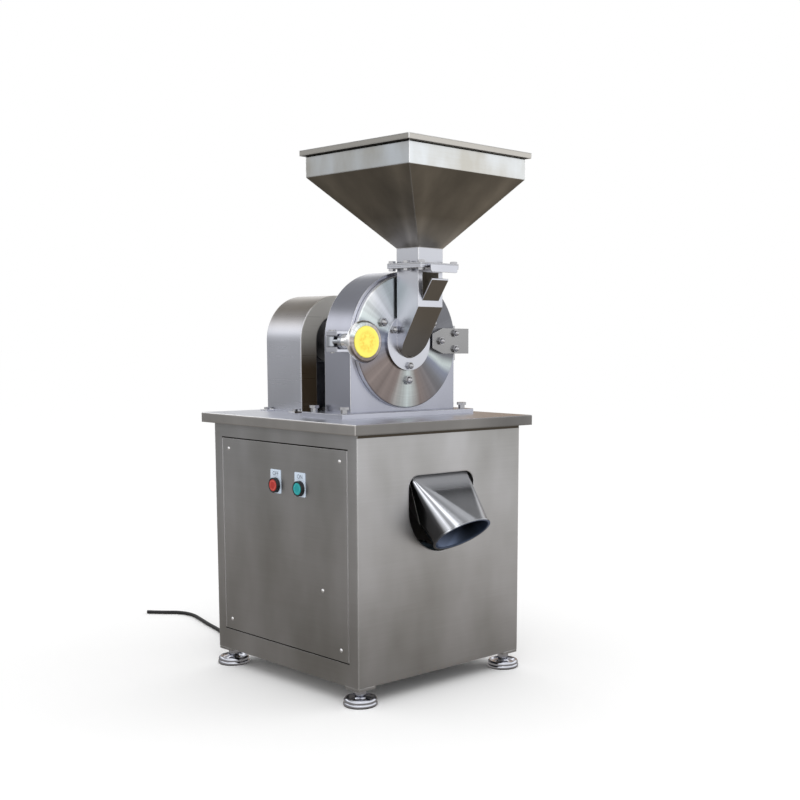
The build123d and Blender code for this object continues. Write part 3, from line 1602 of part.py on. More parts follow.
with BuildPart() as discharge_chute:
    with BuildSketch(side_view(spout_x - chute_width / 2 - spout_wall)):
        with BuildLine():
            Polyline(*chute_side(spout_wall), close=True)
        make_face()
    extrude(amount=chute_width + 2 * spout_wall)
    with BuildSketch(bend_plane):
        add_bend(spout_wall)
    extrude(amount=-spout_wall)
    with BuildSketch(level(cabinet_top)):
        with Locations((spout_x, outlet_y)):
            Rectangle(chute_width + 2 * spout_flange, throat_depth + 2 * spout_flange)
    extrude(amount=-spout_wall)
    with BuildSketch(side_view(spout_x - chute_width / 2)):
        with BuildLine():
            Polyline(*chute_side(0), close=True)
        make_face()
    extrude(amount=chute_width, mode=Mode.SUBTRACT)
write(discharge_chute, "discharge_chute")

# Cable gland and the supply cord on the floor
gland_back = inner_y - gland_inside
with BuildPart() as cable_gland:
    with BuildSketch(Plane(origin=(gland_x, 0, gland_z), x_dir=(0, 1, 0), z_dir=(1, 0, 0))):
        with BuildLine():
            Polyline(
                (gland_back, cord_radius + running_fit),
                (gland_back, gland_radius),
                (cabinet_y, gland_radius),
                (cabinet_y, gland_radius + 4),
                (cabinet_y + 10, gland_radius + 4),
                (cabinet_y + 16, gland_radius),
                (cabinet_y + gland_length, cord_radius + 2),
                (cabinet_y + gland_length, cord_radius + running_fit),
                close=True,
            )
        make_face()
    revolve(axis=Axis((gland_x, 0, gland_z), (0, 1, 0)))
write(cable_gland, "cable_gland")

runs = [Vector(*b) - Vector(*a) for a, b in zip(cord_points, cord_points[1:])]
radii = []
for before, after in zip(runs, runs[1:]):
    turn = math.radians(before.get_angle(after))
    radii.append(0.45 * min(before.length, after.length) / math.tan(turn / 2))
print("cord radii", [round(r) for r in radii])

with BuildPart() as power_cord:
    with BuildLine() as cord_line:
        FilletPolyline(*cord_points, radius=radii)
    with BuildSketch(Plane(origin=cord_line.line @ 0, z_dir=cord_line.line % 0)):
        Circle(cord_radius)
    sweep(path=cord_line.wires()[0])
cord_length = cord_line.wires()[0].length
print("cord length", round(cord_length))
print("cord volume ratio", round(power_cord.part.volume / (math.pi * cord_radius**2 * cord_length), 4))
write(power_cord, "power_cord")
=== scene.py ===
import math
from functools import partial

import bmesh
import bpy
from bpy.props import FloatProperty, FloatVectorProperty, PointerProperty
from mathutils import Matrix, Quaternion, Vector


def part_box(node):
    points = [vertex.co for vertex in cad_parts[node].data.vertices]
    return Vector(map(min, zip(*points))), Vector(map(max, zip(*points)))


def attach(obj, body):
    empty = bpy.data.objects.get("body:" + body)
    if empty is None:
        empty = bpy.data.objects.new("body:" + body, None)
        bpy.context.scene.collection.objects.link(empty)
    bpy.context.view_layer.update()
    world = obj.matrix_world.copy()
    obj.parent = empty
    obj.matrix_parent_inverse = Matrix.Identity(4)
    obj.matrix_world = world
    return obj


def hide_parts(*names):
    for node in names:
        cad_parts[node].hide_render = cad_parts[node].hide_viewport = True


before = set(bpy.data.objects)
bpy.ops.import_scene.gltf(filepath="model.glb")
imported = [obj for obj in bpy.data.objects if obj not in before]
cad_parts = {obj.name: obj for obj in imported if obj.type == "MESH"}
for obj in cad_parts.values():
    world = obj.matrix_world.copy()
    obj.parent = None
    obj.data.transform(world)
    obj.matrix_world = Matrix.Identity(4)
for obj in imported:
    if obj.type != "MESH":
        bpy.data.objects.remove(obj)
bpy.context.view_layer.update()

bl_info = {
    "name": "Sugar pulverizer looks",
    "version": (1, 0, 0),
    "blender": (4, 5, 0),
    "location": "View3D > Sidebar > Pulverizer",
    "description": "Finishes, cord and studio for a stainless pin mill on its cabinet",
    "category": "Object",
}

MM = 0.001
PHOTO_PIXELS = 800
SENSOR_WIDTH = 36
FAR_CLIP = 200
FLOOR_RADIUS = 60
# Sides of the floor and the room
ROUND = 64
# Level directions to the right of the picture and away behind the machine
RIGHT, BEHIND = (0.72, -0.69, 0), (0.71, 0.69, 0)
LAMP_TARGET = (0, 0, 0.6)
# A colour ramp stops at 1, so lights are held in it as shares of this
RAMP_LIGHT = 3.0
# Most of a noise texture lies between these
NOISE_LOW, NOISE_HIGH = 0.3, 0.7
# How metallic steel still looks under dust, and on the belt guard's dull front
DULL_METAL = 0.1
# Settings for mixing colours, easing a range and a dot product, with the output to take
COLOURS = {"out": 2, "data_type": "RGBA"}
SMOOTH = {"interpolation_type": "SMOOTHSTEP"}
DOT = {"out": "Value", "operation": "DOT_PRODUCT"}


def linear(code):
    """Turns an sRGB hex colour into linear red, green, blue and a full alpha."""
    channels = [int(code[k:k + 2], 16) / 255 for k in (1, 3, 5)]
    return [c / 12.92 if c <= 0.04045 else ((c + 0.055) / 1.055) ** 2.4 for c in channels] + [1.0]


def colour(name, text, code):
    """A colour property whose default is an sRGB hex value."""
    return FloatVectorProperty(name=name, description=text, size=4, subtype="COLOR", min=0, max=1,
                               default=linear(code))


def length(name, text, size):
    """A length property whose default is in millimetres."""
    return FloatProperty(name=name, description=text, default=size * MM, unit="LENGTH", precision=5)


def degrees(name, text, turn):
    """An angle property whose default is in degrees."""
    return FloatProperty(name=name, description=text, default=math.radians(turn), subtype="ANGLE")


def pixels(name, text, count):
    """A property in pixels of the picture."""
    return FloatProperty(name=name, description=text, default=count, subtype="PIXEL")


class PulverizerFinish(bpy.types.PropertyGroup):
    """Colours of the metals, plastics and rubbers."""

    steel_pale: colour("Steel, pale", "Brushed stainless at its brightest", "#C2C2C4")
    steel_deep: colour("Steel, deep", "Brushed stainless in its darker clouds", "#9C9B99")
    bright_pale: colour("Bright steel, pale", "Ground stainless, bright side", "#CFD1DA")
    bright_deep: colour("Bright steel, deep", "Ground stainless, dull side", "#BDBFC6")
    plate_pale: colour("Base plate, pale", "Mill's base plate, bright side", "#C6C8D2")
    plate_deep: colour("Base plate, deep", "Mill's base plate, dull side", "#B2B4BE")
    strap_pale: colour("Strap steel, pale", "Hinge strap, bright side", "#9A9A9B")
    strap_deep: colour("Strap steel, deep", "Hinge strap, dull side", "#868686")
    skirt_pale: colour("Hopper skirt, pale", "Hopper's skirt, bright patches", "#E2E8EE")
    skirt_deep: colour("Hopper skirt, deep", "Hopper's skirt, warm patches", "#BFBDB6")
    hopper_rim: colour("Hopper rim", "Hopper's dull rolled rim", "#BAB7B1")
    # Painted shade on the belt guard: its crown takes a warmer, darker tint, and its front is brown low down
    # and pale higher up
    guard_top: colour("Guard, top", "Belt guard's warm crown", "#99928A")
    guard_high: colour("Guard, front", "Dull upper front of the belt guard", "#B8B6B1")
    guard_shade_low: colour("Guard, front low", "Belt dust low on the guard's front", "#4A3E30")
    mill_pale: colour("Mill steel, pale", "Chamber of the mill, bright side", "#B4B6C2")
    mill_deep: colour("Mill steel, deep", "Chamber of the mill, dull side", "#A0A2AC")
    # Painted shade: the table rim's sides take a darker tint than its top
    rim_shade: colour("Table rim", "Table's rim, dulled by hands", "#7A7876")
    # Painted highlight: edges, folds, upright seams and the sides of turned parts are lightened to this; it
    # is also the panel screws' tint
    edge_bright: colour("Rubbed edge", "Folded edges rubbed bright", "#FAFAFB")
    # Painted shade: darker tints for faces that slope down, on the hopper's cone, next to its neck, and on
    # the duct
    under_brown: colour("Steel, underside", "Hopper's dusty sloped underside", "#746E64")
    under_grey: colour("Steel, underside low", "Hopper's underside next to its neck", "#A4A09A")
    duct_brown: colour("Steel, duct underside", "Duct's sloped underside", "#7E786F")
    overhang: colour("Overhang shade", "Front panel under the table's rim", "#4A443C")
    duct_dust: colour("Duct, dust", "Sugar dust in the feed duct", "#C8C0B4")
    # Painted shade: this colour darkens faces that look straight down, the seam round the control panel, the
    # strip under the hopper's rim and the gap between the clevis lugs
    shadow: colour("Deep shade", "Folds and seams that gather dust", "#23211E")
    # Painted reflection: fan tints of the turned door and the polished knob
    fan_light: colour("Turned steel, light", "Light fan of the turned door", "#F0F2F4")
    fan_brown: colour("Turned steel, brown", "Warm fan of the turned door", "#807673")
    fan_green: colour("Turned steel, green", "Pale green fan of the turned door", "#BFC8C8")
    fan_blue: colour("Turned steel, blue", "Bluish fan of the turned door", "#868B9A")
    fan_dark: colour("Turned steel, dark", "Dark fan of the turned door", "#6E6F74")
    polished: colour("Polished steel", "Polished claw and swing bolt", "#B4B8BF")
    knob: colour("Knob steel", "Polished knob", "#A8A09C")
    spout: colour("Spout steel", "Polished outside of the spout", "#A6A8AD")
    # Painted shade: the spout's inside tint, dimmer further from the mouth
    spout_inside: colour("Spout, inside", "Powdery inside of the spout", "#6C7890")
    spout_dust: colour("Spout, dust", "Dust on the spout's top", "#97989C")
    plated: colour("Plated steel", "Nickel plated bolts and nuts", "#B0B0B3")
    machined: colour("Machined steel", "Turned shafts and toothed discs", "#B9B9BB")
    casting: colour("Black casting", "Paint of the bearing housing", "#232426")
    pulley: colour("Pulley iron", "Grey iron of the pulleys", "#6E6E70")
    motor: colour("Motor paint", "Satin blue-grey motor paint", "#5A6A78")
    rubber: colour("Black rubber", "Cord jacket, belts and soles", "#1E1E1F")
    seal: colour("Pale rubber", "Silicone door seal", "#CBC7C0")
    black: colour("Black plastic", "Button bezels and cable gland", "#18191C")
    white: colour("White plastic", "Legend plates", "#C8D5E4")
    ink: colour("Print", "Print on the legend plates", "#4A5160")
    # The ring tints are paler patchy rings on the button faces
    red: colour("Red plastic", "Stop button", "#A3261F")
    red_ring: colour("Red plastic, rim", "Rubbed rim of the stop button", "#CC564B")
    green: colour("Green plastic", "Start button", "#078D90")
    green_ring: colour("Green plastic, rim", "Rubbed rim of the start button", "#34ABAE")
    yellow: colour("Yellow plastic", "Knob cap", "#F8EC66")
    yellow_ring: colour("Yellow plastic, ring", "Warmer mottle of the knob cap", "#F6CE48")


class PulverizerSizes(bpy.types.PropertyGroup):
    """Sizes of the surface detail."""

    edge: length("Edge rounding", "Broken edge of ground plate", 1.2)
    fold: length("Fold rounding", "Outside of a folded sheet edge", 4)
    collar: length("Collar wall", "Rounded rim round a push button", 3.4)
    brush_width: length("Brush line width", "Width of a brush line", 3)
    brush_length: length("Brush line length", "Length of a brush line", 160)
    cloud: length("Cloud size", "Soft patches in the sheet", 190)
    wave: length("Wave size", "Slow waves in a panel", 260)
    cord_radius: length("Cord radius", "Radius of the supply cord", 5)


class PulverizerStage(bpy.types.PropertyGroup):
    """Camera and studio."""

    azimuth: degrees("Azimuth", "Camera's turn round the machine", -45.905)
    elevation: degrees("Elevation", "Camera's height angle", 7.647)
    roll: degrees("Roll", "Camera's tilt", 0.447)
    distance: length("Distance", "Camera to its target", 3307.6)
    target: FloatVectorProperty(name="Target", description="Point at the middle of the lens", size=3,
                                default=(0.46023, 0, 0.37614), subtype="TRANSLATION", unit="LENGTH")
    focus_pixels: pixels("Focal length", "Focal length in the picture", 1192.1)
    centre_right: pixels("Centre, right", "Lens centre across the picture", 495.3)
    centre_down: pixels("Centre, down", "Lens centre down the picture", 500.9)
    floor: colour("Floor", "Pale studio floor", "#FFFFFF")
    soft_light: FloatProperty(name="Soft light", description="Strength of the light from all round",
                              default=1.0)
    room: length("Room", "Radius of the reflecting room", 3000)
    room_height: length("Room height", "Height of the reflecting wall", 4500)
    ground_tint: colour("Room floor", "Floor that the metal mirrors", "#FFF8F0")
    wood_tint: colour("Room wood", "Wood that the metal mirrors", "#B09C88")


GROUPS = {"pulverizer_finish": PulverizerFinish, "pulverizer_sizes": PulverizerSizes,
          "pulverizer_stage": PulverizerStage}
CLASSES = list(GROUPS.values())


def operator(cls):
    """Keeps an operator for the panel and the register."""
    CLASSES.append(cls)
    return cls


def finish():
    """The scene's finish properties."""
    return bpy.context.scene.pulverizer_finish


def detail():
    """The scene's size properties."""
    return bpy.context.scene.pulverizer_sizes


def middle(name):
    """The middle of a CAD node's box."""
    low, high = (Vector(corner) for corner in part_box(name))
    return (low + high) / 2


def dress(material, *names):
    """Gives CAD nodes a material."""
    for name in names:
        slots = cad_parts[name].data.materials
        slots.clear()
        slots.append(material)


def from_bmesh(shape, name, material):
    """Makes an object from a bmesh, with its material, and links it to the scene."""
    mesh = bpy.data.meshes.new(name)
    shape.to_mesh(mesh)
    shape.free()
    mesh.materials.append(material)
    made = bpy.data.objects.new(name, mesh)
    bpy.context.scene.collection.objects.link(made)
    return made


def plug(made, inputs):
    """Sets or links a node's inputs, given in the order of its sockets or by their names."""
    for socket, value in inputs.items() if isinstance(inputs, dict) else enumerate(inputs):
        if isinstance(value, bpy.types.NodeSocket):
            made.id_data.links.new(value, made.inputs[socket])
        else:
            made.inputs[socket].default_value = value


def node(tree, kind, inputs=(), operation=None, out=0, **settings):
    """Adds a shader node with its settings and inputs, and gives one of its outputs."""
    made = tree.nodes.new("ShaderNode" + kind)
    if operation:
        settings["operation"] = operation
    for name, value in settings.items():
        setattr(made, name, value)
    plug(made, inputs)
    return made.outputs[out]


def fill_ramp(ramp, stops):
    """Gives a colour ramp its stops, each a place from 0 to 1 and a tint."""
    elements = ramp.node.color_ramp.elements
    while len(elements) < len(stops):
        elements.new(0.5)
    for element, (at, tint) in zip(elements, stops):
        element.position = at
        element.color = tint
    return ramp


def grey(light):
    """An even grey, as much below its light as a colour ramp needs to hold it."""
    return (light / RAMP_LIGHT,) * 3 + (1,)


def new_material(name):
    """A material, what adds a node to it, its shader and its object coordinates."""
    made = bpy.data.materials.new(name)
    made.use_nodes = True
    add = partial(node, made.node_tree)
    return made, add, made.node_tree.nodes["Principled BSDF"], add("TexCoord", out="Object")


def edge_mask(add, radius):
    """A rounded normal for sharp edges, and how near a point is to such an edge."""
    corner = add("Bevel", {"Radius": radius}, samples=6)
    flat = add("NewGeometry", out="Normal")
    turned = add("VectorMath", (corner, flat), **DOT)
    near = add("MapRange", (turned, 0.99, 0.8))
    return corner, near


def brushed_steel(name, pale, deep, rough, drawn=0.1, cloud=None, under=None, slope=(-0.2, -0.5),
                  thread=0.25, edge=None, low=None, high=(), left=1.0, streaks=None, seam=None, dusty=None,
                  front=None):
    """Stainless sheet drawn with a belt: soft clouds, fine level lines and a painted highlight on its edges.

    Faces whose upward slant passes slope take the tint under as painted shade, and keep a thread of their
    painted edge highlight. Low and high tint by height, left lightens or darkens what faces left as painted
    light, and the others add one feature each.
    """
    made, add, shader, place = new_material(name)
    parts = add("SeparateXYZ", {0: place}).node.outputs
    facing = add("SeparateXYZ", {0: add("TexCoord", out="Normal")}).node.outputs
    # Real belt lines are finer than a millimetre, and are drawn coarser so that they show
    along, across = 1 / detail().brush_length, 1 / detail().brush_width
    lines_place = add("Mapping", {"Vector": place, "Scale": (along, along, across)})
    lines = add("TexNoise", {"Vector": lines_place, "Scale": 1.0, "Detail": 4.0})
    tall = add("Mapping", {"Vector": place, "Scale": (1, 1, 0.5)})
    clouds = add("TexNoise", {"Vector": tall, "Scale": 1 / (cloud or detail().cloud), "Detail": 3.0})
    tone = add("Math", (lines, drawn, clouds), "MULTIPLY_ADD")
    share = add("MapRange", (tone, NOISE_LOW + drawn * 0.4, NOISE_HIGH + drawn * 0.6))
    mixed = add("Mix", {0: share, "A": deep, "B": pale}, **COLOURS)
    for start, tint in high:
        above = add("Math", (parts["Z"], start), "GREATER_THAN")
        mixed = add("Mix", {0: above, "A": mixed, "B": tint}, **COLOURS)
    # Painted light: faces looking left are lightened or darkened by the factor left
    facing_light = add("MapRange", (facing["X"], -0.3, -0.7, 1.0, left))
    mixed = add("VectorMath", {0: mixed, "Scale": facing_light}, "SCALE")
    if low:
        bottom, top, low_pale, low_under = low
        height = add("MapRange", (parts["Z"], bottom, top))
        mixed = add("Mix", {0: height, "A": low_pale, "B": mixed}, **COLOURS)
        under = add("Mix", {0: height, "A": low_under, "B": under}, **COLOURS)
    lighter_share = 1.0
    # Painted shade: faces sloping down past slope take the under tint, lifted by patches and by gleam
    if under is not None:
        below = add("MapRange", (facing["Z"], slope[0], slope[1]))
        patch = add("MapRange", (clouds, NOISE_LOW, NOISE_HIGH, 0.8, 1.2))
        gleam = streak(add, parts, *streaks) if streaks else facing_light
        lit = add("Math", (patch, gleam), "MULTIPLY")
        dull = add("VectorMath", {0: under if low else under[:3], "Scale": lit}, "SCALE")
        mixed = add("Mix", {0: below, "A": mixed, "B": dull}, **COLOURS)
        # Painted shade: faces that look straight down take the deep shade colour
        level = add("MapRange", (facing["Z"], -0.9, -0.98))
        mixed = add("Mix", {0: level, "A": mixed, "B": finish().shadow}, **COLOURS)
        lighter_share = add("MapRange", (below, 0, 1, 1.0, thread))
    # Painted highlight: near sharp edges the tint turns to edge_bright, with only a thread of it on the
    # undersides
    corner, near = edge_mask(add, edge or detail().edge)
    highlighted = add("Math", (near, lighter_share), "MULTIPLY")
    bright = add("Mix", {0: highlighted, "A": mixed, "B": finish().edge_bright}, **COLOURS)
    if seam:
        bright = seamed(add, parts, bright, *seam)
    metal = 1.0
    if dusty or front:
        if dusty:
            within, coat = inner_dust(add, place, parts, *dusty)
        else:
            within, coat = dull_front(add, parts, facing, *front)
        bright = add("Mix", {0: within, "A": bright, "B": coat}, **COLOURS)
        metal = add("MapRange", (within, 0, 1, 1.0, DULL_METAL))
    gloss = add("MapRange", (lines, NOISE_LOW, NOISE_HIGH, rough - drawn * 0.2, rough + drawn * 0.25))
    waves = add("TexNoise", {"Vector": place, "Scale": 1 / detail().wave, "Detail": 0.0})
    swell = add("Bump", {"Strength": 0.5, "Distance": 2 * MM, "Height": waves, "Normal": corner})
    relief = add("Bump", {"Strength": drawn / 10, "Distance": 0.2 * MM, "Height": lines, "Normal": swell})
    plug(shader, {"Base Color": bright, "Metallic": metal, "Roughness": gloss, "Normal": relief})
    return made


def inner_dust(add, place, parts, centre, tint, start):
    """Where walls face an upright line through a centre, above a height, with the tint of dust on them."""
    out = add("VectorMath", (place, centre), "SUBTRACT")
    flat = add("VectorMath", (out, (1, 1, 0)), "MULTIPLY")
    face = add("TexCoord", out="Normal")
    turned = add("VectorMath", (flat, face), **DOT)
    inner = add("MapRange", (turned, 2 * MM, -2 * MM))
    above = add("Math", (parts["Z"], start), "GREATER_THAN")
    return add("Math", (inner, above), "MULTIPLY"), tint


def dull_front(add, parts, facing, depth, bottom, top, tint_low, tint_high):
    """Where a flat front lies before a depth, with its tint: painted shade, brown below and pale above."""
    ahead = add("MapRange", (facing["Y"], -0.6, -0.95))
    before = add("Math", (parts["Y"], depth), "LESS_THAN")
    rise = add("MapRange", (parts["Z"], bottom, top), **SMOOTH)
    tint = add("Mix", {0: rise, "A": tint_low, "B": tint_high}, **COLOURS)
    return add("Math", (ahead, before), "MULTIPLY"), tint


def streak(add, parts, centre, gleams):
    """Painted highlights: soft streaks of light that run down a four-sided cone beside each of its corners.
    """
    out = add("Math", (parts["X"], centre.x), "SUBTRACT")
    deep = add("Math", (parts["Y"], centre.y), "SUBTRACT")
    angle = add("Math", (deep, out), "ARCTAN2")
    quarter = add("Math", (angle, math.pi / 2), "FLOORED_MODULO")
    share = add("Math", (quarter, math.pi / 2), "DIVIDE")
    ramp = fill_ramp(add("ValToRGB", {0: share}), [(turn / 90, grey(light)) for turn, light in gleams])
    return add("Math", (ramp, RAMP_LIGHT), "MULTIPLY")


def seamed(add, parts, tint, skin, panel_low, panel_high, width):
    """The seam round a set-in panel: painted shade in the gap and along the level edges, painted highlight
    along the upright ones.
    """
    past, strip = {}, {}
    for axis, k in (("Y", 1), ("Z", 2)):
        centre, half = (panel_low[k] + panel_high[k]) / 2, (panel_high[k] - panel_low[k]) / 2
        off = add("Math", (parts[axis], centre), "SUBTRACT")
        away = add("Math", {0: off}, "ABSOLUTE")
        past[axis] = add("Math", (away, half), "SUBTRACT")
        strip[axis] = add("MapRange", (past[axis], width, width * 0.6))
    behind = add("Math", (parts["X"], skin), "GREATER_THAN")
    tint = add("Mix", {0: behind, "A": tint, "B": finish().shadow}, **COLOURS)
    inside = add("Math", (past["Z"], 0.0), "LESS_THAN")
    upright = add("Math", (inside, strip["Y"]), "MULTIPLY")
    tint = add("Mix", {0: upright, "A": tint, "B": finish().edge_bright}, **COLOURS)
    inside = add("Math", (past["Y"], width), "LESS_THAN")
    after = add("Math", (past["Z"], 0.0), "GREATER_THAN")
    level = add("Math", (inside, strip["Z"]), "MULTIPLY")
    level = add("Math", (level, after), "MULTIPLY")
    return add("Mix", {0: level, "A": tint, "B": finish().shadow}, **COLOURS)


def turned_steel(name, node_name, fans, rough):
    """Steel faced on a lathe: fine rings, and fans of painted reflection, light and dark, that meet at the
    middle.
    """
    made, add, shader, place = new_material(name)
    centred = add("VectorMath", (place, middle(node_name)), "SUBTRACT")
    parts = add("SeparateXYZ", {0: centred}).node.outputs
    angle = add("Math", (parts["Z"], parts["X"]), "ARCTAN2")
    wobble = add("TexNoise", {"Vector": place, "Scale": 1 / detail().cloud, "Detail": 2.0})
    share = add("MapRange", (angle, -math.pi, math.pi))
    sway = 0.08
    bent = add("Math", (wobble, sway, share), "MULTIPLY_ADD")
    ramp = fill_ramp(add("ValToRGB", {0: bent}),
                     [(turn / 360 + 0.5 + sway / 2, tint) for turn, tint in fans])
    # Real tool marks are finer, and are drawn as coarse as the brush lines
    flat = add("VectorMath", (centred, (1, 0, 1)), "MULTIPLY")
    away = add("VectorMath", {0: flat}, "LENGTH", out="Value")
    # Five spokes of light to a radian weigh three times as much as the rings
    spokes = add("TexNoise", {"W": angle, "Scale": 5.0, "Detail": 3.0}, noise_dimensions="1D")
    rings = add("TexNoise", {"W": away, "Scale": 1 / detail().brush_width, "Detail": 3.0},
                noise_dimensions="1D")
    both = add("Math", (spokes, 3.0, rings), "MULTIPLY_ADD")
    shade = add("MapRange", (both, 4 * NOISE_LOW, 4 * NOISE_HIGH, 0.78, 1.22))
    tinted = add("VectorMath", {0: ramp, "Scale": shade}, "SCALE")
    # Painted highlight: edges and faces that don't look ahead are lightened to edge_bright
    corner, near = edge_mask(add, detail().edge)
    ahead = add("SeparateXYZ", {0: add("TexCoord", out="Normal")}, out="Y")
    face = add("MapRange", (ahead, -0.7, -0.3))
    rim = add("Math", (near, face), "MAXIMUM")
    bright = add("Mix", {0: rim, "A": tinted, "B": finish().edge_bright}, **COLOURS)
    gloss = add("MapRange", (rings, 0, 1, rough - 0.05, rough + 0.05))
    plug(shader, {"Base Color": bright, "Metallic": 1.0, "Roughness": gloss, "Normal": corner})
    return made


def spout_steel(name, top, down, corner, streaks, inside_at, dust_at, rough):
    """Polished sheet outside with painted highlight streaks along its bent corners, and inside a dull bluish
    skin painted darker further from the mouth as shade.
    """
    tints = finish()
    made, add, shader, place = new_material(name)
    facing = add("TexCoord", out="Normal")
    rest = add("VectorMath", (place, top), "SUBTRACT")
    along = add("VectorMath", (rest, down), **DOT)
    line = add("VectorMath", {0: down, "Scale": along}, "SCALE")
    out = add("VectorMath", (rest, line), "SUBTRACT")
    turned = add("VectorMath", (out, facing), **DOT)
    within = add("MapRange", (turned, 4 * MM, -4 * MM))
    mottle = add("TexNoise", {"Vector": place, "Scale": 1 / (40 * MM), "Detail": 4.0})
    shade = add("MapRange", (mottle, 0, 1, 0.85, 1.15))
    # Each painted highlight streak leans from the corner of the opening as a line of one slant, up to the
    # widest
    widest = 1.6
    parts = add("SeparateXYZ", {0: place}).node.outputs
    reach = add("Math", (parts["Y"], corner[0]), "SUBTRACT")
    drop = add("Math", (parts["Z"], corner[1]), "SUBTRACT")
    lean = add("Math", (reach, drop), "DIVIDE")
    share = add("Math", (lean, widest), "DIVIDE")
    ramp = fill_ramp(add("ValToRGB", {0: share}),
                     [(slant / widest, grey(light)) for slant, light in streaks])
    # Painted highlight: the polished tint lifted along the streaks
    lit = add("Math", (ramp, RAMP_LIGHT), "MULTIPLY")
    rolled = add("VectorMath", {0: tints.spout[:3], "Scale": lit}, "SCALE")
    # Painted shade: the inside grows dimmer further from the mouth
    depth = add("MapRange", (along, inside_at[0], inside_at[1], 0.3, 2.2))
    dim = add("VectorMath", {0: tints.spout_inside[:3], "Scale": depth}, "SCALE")
    mixed = add("Mix", {0: within, "A": rolled, "B": dim}, **COLOURS)
    tinted = add("VectorMath", {0: mixed, "Scale": shade}, "SCALE")
    gloss = add("MapRange", (within, 0, 1, rough, 0.5))
    # Dust lies on the flat top where the panel's edge keeps it from being wiped
    level = add("SeparateXYZ", {0: facing}, out="Z")
    flat = add("MapRange", (level, 0.55, 0.75))
    back = add("MapRange", (parts["Y"], dust_at[0], dust_at[1]))
    dusty = add("Math", (flat, back), "MULTIPLY")
    covered = add("Mix", {0: dusty, "A": tinted, "B": tints.spout_dust}, **COLOURS)
    matt = add("Math", (dusty, 0.4, gloss), "MULTIPLY_ADD")
    metal = add("MapRange", (dusty, 0, 1, 1.0, DULL_METAL))
    normal = edge_mask(add, detail().edge)[0]
    plug(shader, {"Base Color": covered, "Metallic": metal, "Roughness": matt, "Normal": normal})
    return made


def plain_metal(name, tint, rough, grain, edge=0.6, groove=None):
    """Plated, machined or polished metal: a faint mottle, soft edges, and a dark groove or sole."""
    made, add, shader, place = new_material(name)
    mottle = add("TexNoise", {"Vector": place, "Scale": 1 / (grain * MM), "Detail": 3.0})
    shade = add("MapRange", (mottle, 0, 1, 0.82, 1.12))
    ground = tint[:3]
    if groove:
        # Height of its middle, and how far from there, in mm, the dark ends and the metal starts
        centre, start, end, dark = groove
        up = add("SeparateXYZ", {0: place}, out="Z")
        off = add("Math", (up, centre), "SUBTRACT")
        away = add("Math", {0: off}, "ABSOLUTE")
        share = add("MapRange", (away, start * MM, end * MM))
        ground = add("Mix", {0: share, "A": dark, "B": tint}, **COLOURS)
    tinted = add("VectorMath", {0: ground, "Scale": shade}, "SCALE")
    gloss = add("MapRange", (mottle, NOISE_LOW, NOISE_HIGH, rough * 0.8, rough * 1.3))
    corner = add("Bevel", {"Radius": edge * MM}, samples=4)
    plug(shader, {"Base Color": tinted, "Metallic": 1.0, "Roughness": gloss, "Normal": corner})
    return made


def moulded(name, tint, rough, grain, depth, edge=0.5):
    """Moulded plastic, rubber or paint: fine orange-peel grain and a slight change of tint."""
    made, add, shader, place = new_material(name)
    # Real grain is some tenths of a millimetre, and is drawn coarser so that it shows
    peel = add("TexNoise", {"Vector": place, "Scale": 1 / (grain * MM), "Detail": 2.0})
    shade = add("MapRange", (peel, 0, 1, 0.9, 1.08))
    tinted = add("VectorMath", {0: tint[:3], "Scale": shade}, "SCALE")
    corner = add("Bevel", {"Radius": edge * MM}, samples=4)
    relief = add("Bump", {"Strength": 0.3, "Distance": depth * MM, "Height": peel, "Normal": corner})
    plug(shader, {"Base Color": tinted, "Roughness": rough, "Normal": relief})
    return made


def ringed_plastic(name, tint, ring, node_name, spread, low, high, grain, rough):
    """Moulded plastic with a lighter patchy ring between two distances from the middle of its node."""
    made, add, shader, place = new_material(name)
    centred = add("VectorMath", (place, middle(node_name)), "SUBTRACT")
    flat = add("VectorMath", (centred, spread), "MULTIPLY")
    away = add("VectorMath", {0: flat}, "LENGTH", out="Value")
    soft = (high - low) / 3
    rise = add("MapRange", (away, low * MM, (low + soft) * MM))
    fall = add("MapRange", (away, high * MM, (high - soft) * MM))
    band = add("Math", (rise, fall), "MULTIPLY")
    mottle = add("TexNoise", {"Vector": place, "Scale": 1 / (grain * MM), "Detail": 2.0})
    patchy = add("MapRange", (mottle, NOISE_LOW, 0.65))
    lighter_share = add("Math", (band, patchy), "MULTIPLY")
    mixed = add("Mix", {0: lighter_share, "A": tint, "B": ring}, **COLOURS)
    corner = add("Bevel", {"Radius": 0.6 * MM}, samples=4)
    relief = add("Bump", {"Strength": 0.2, "Distance": 0.03 * MM, "Height": mottle, "Normal": corner})
    plug(shader, {"Base Color": mixed, "Roughness": rough, "Normal": relief})
    return made


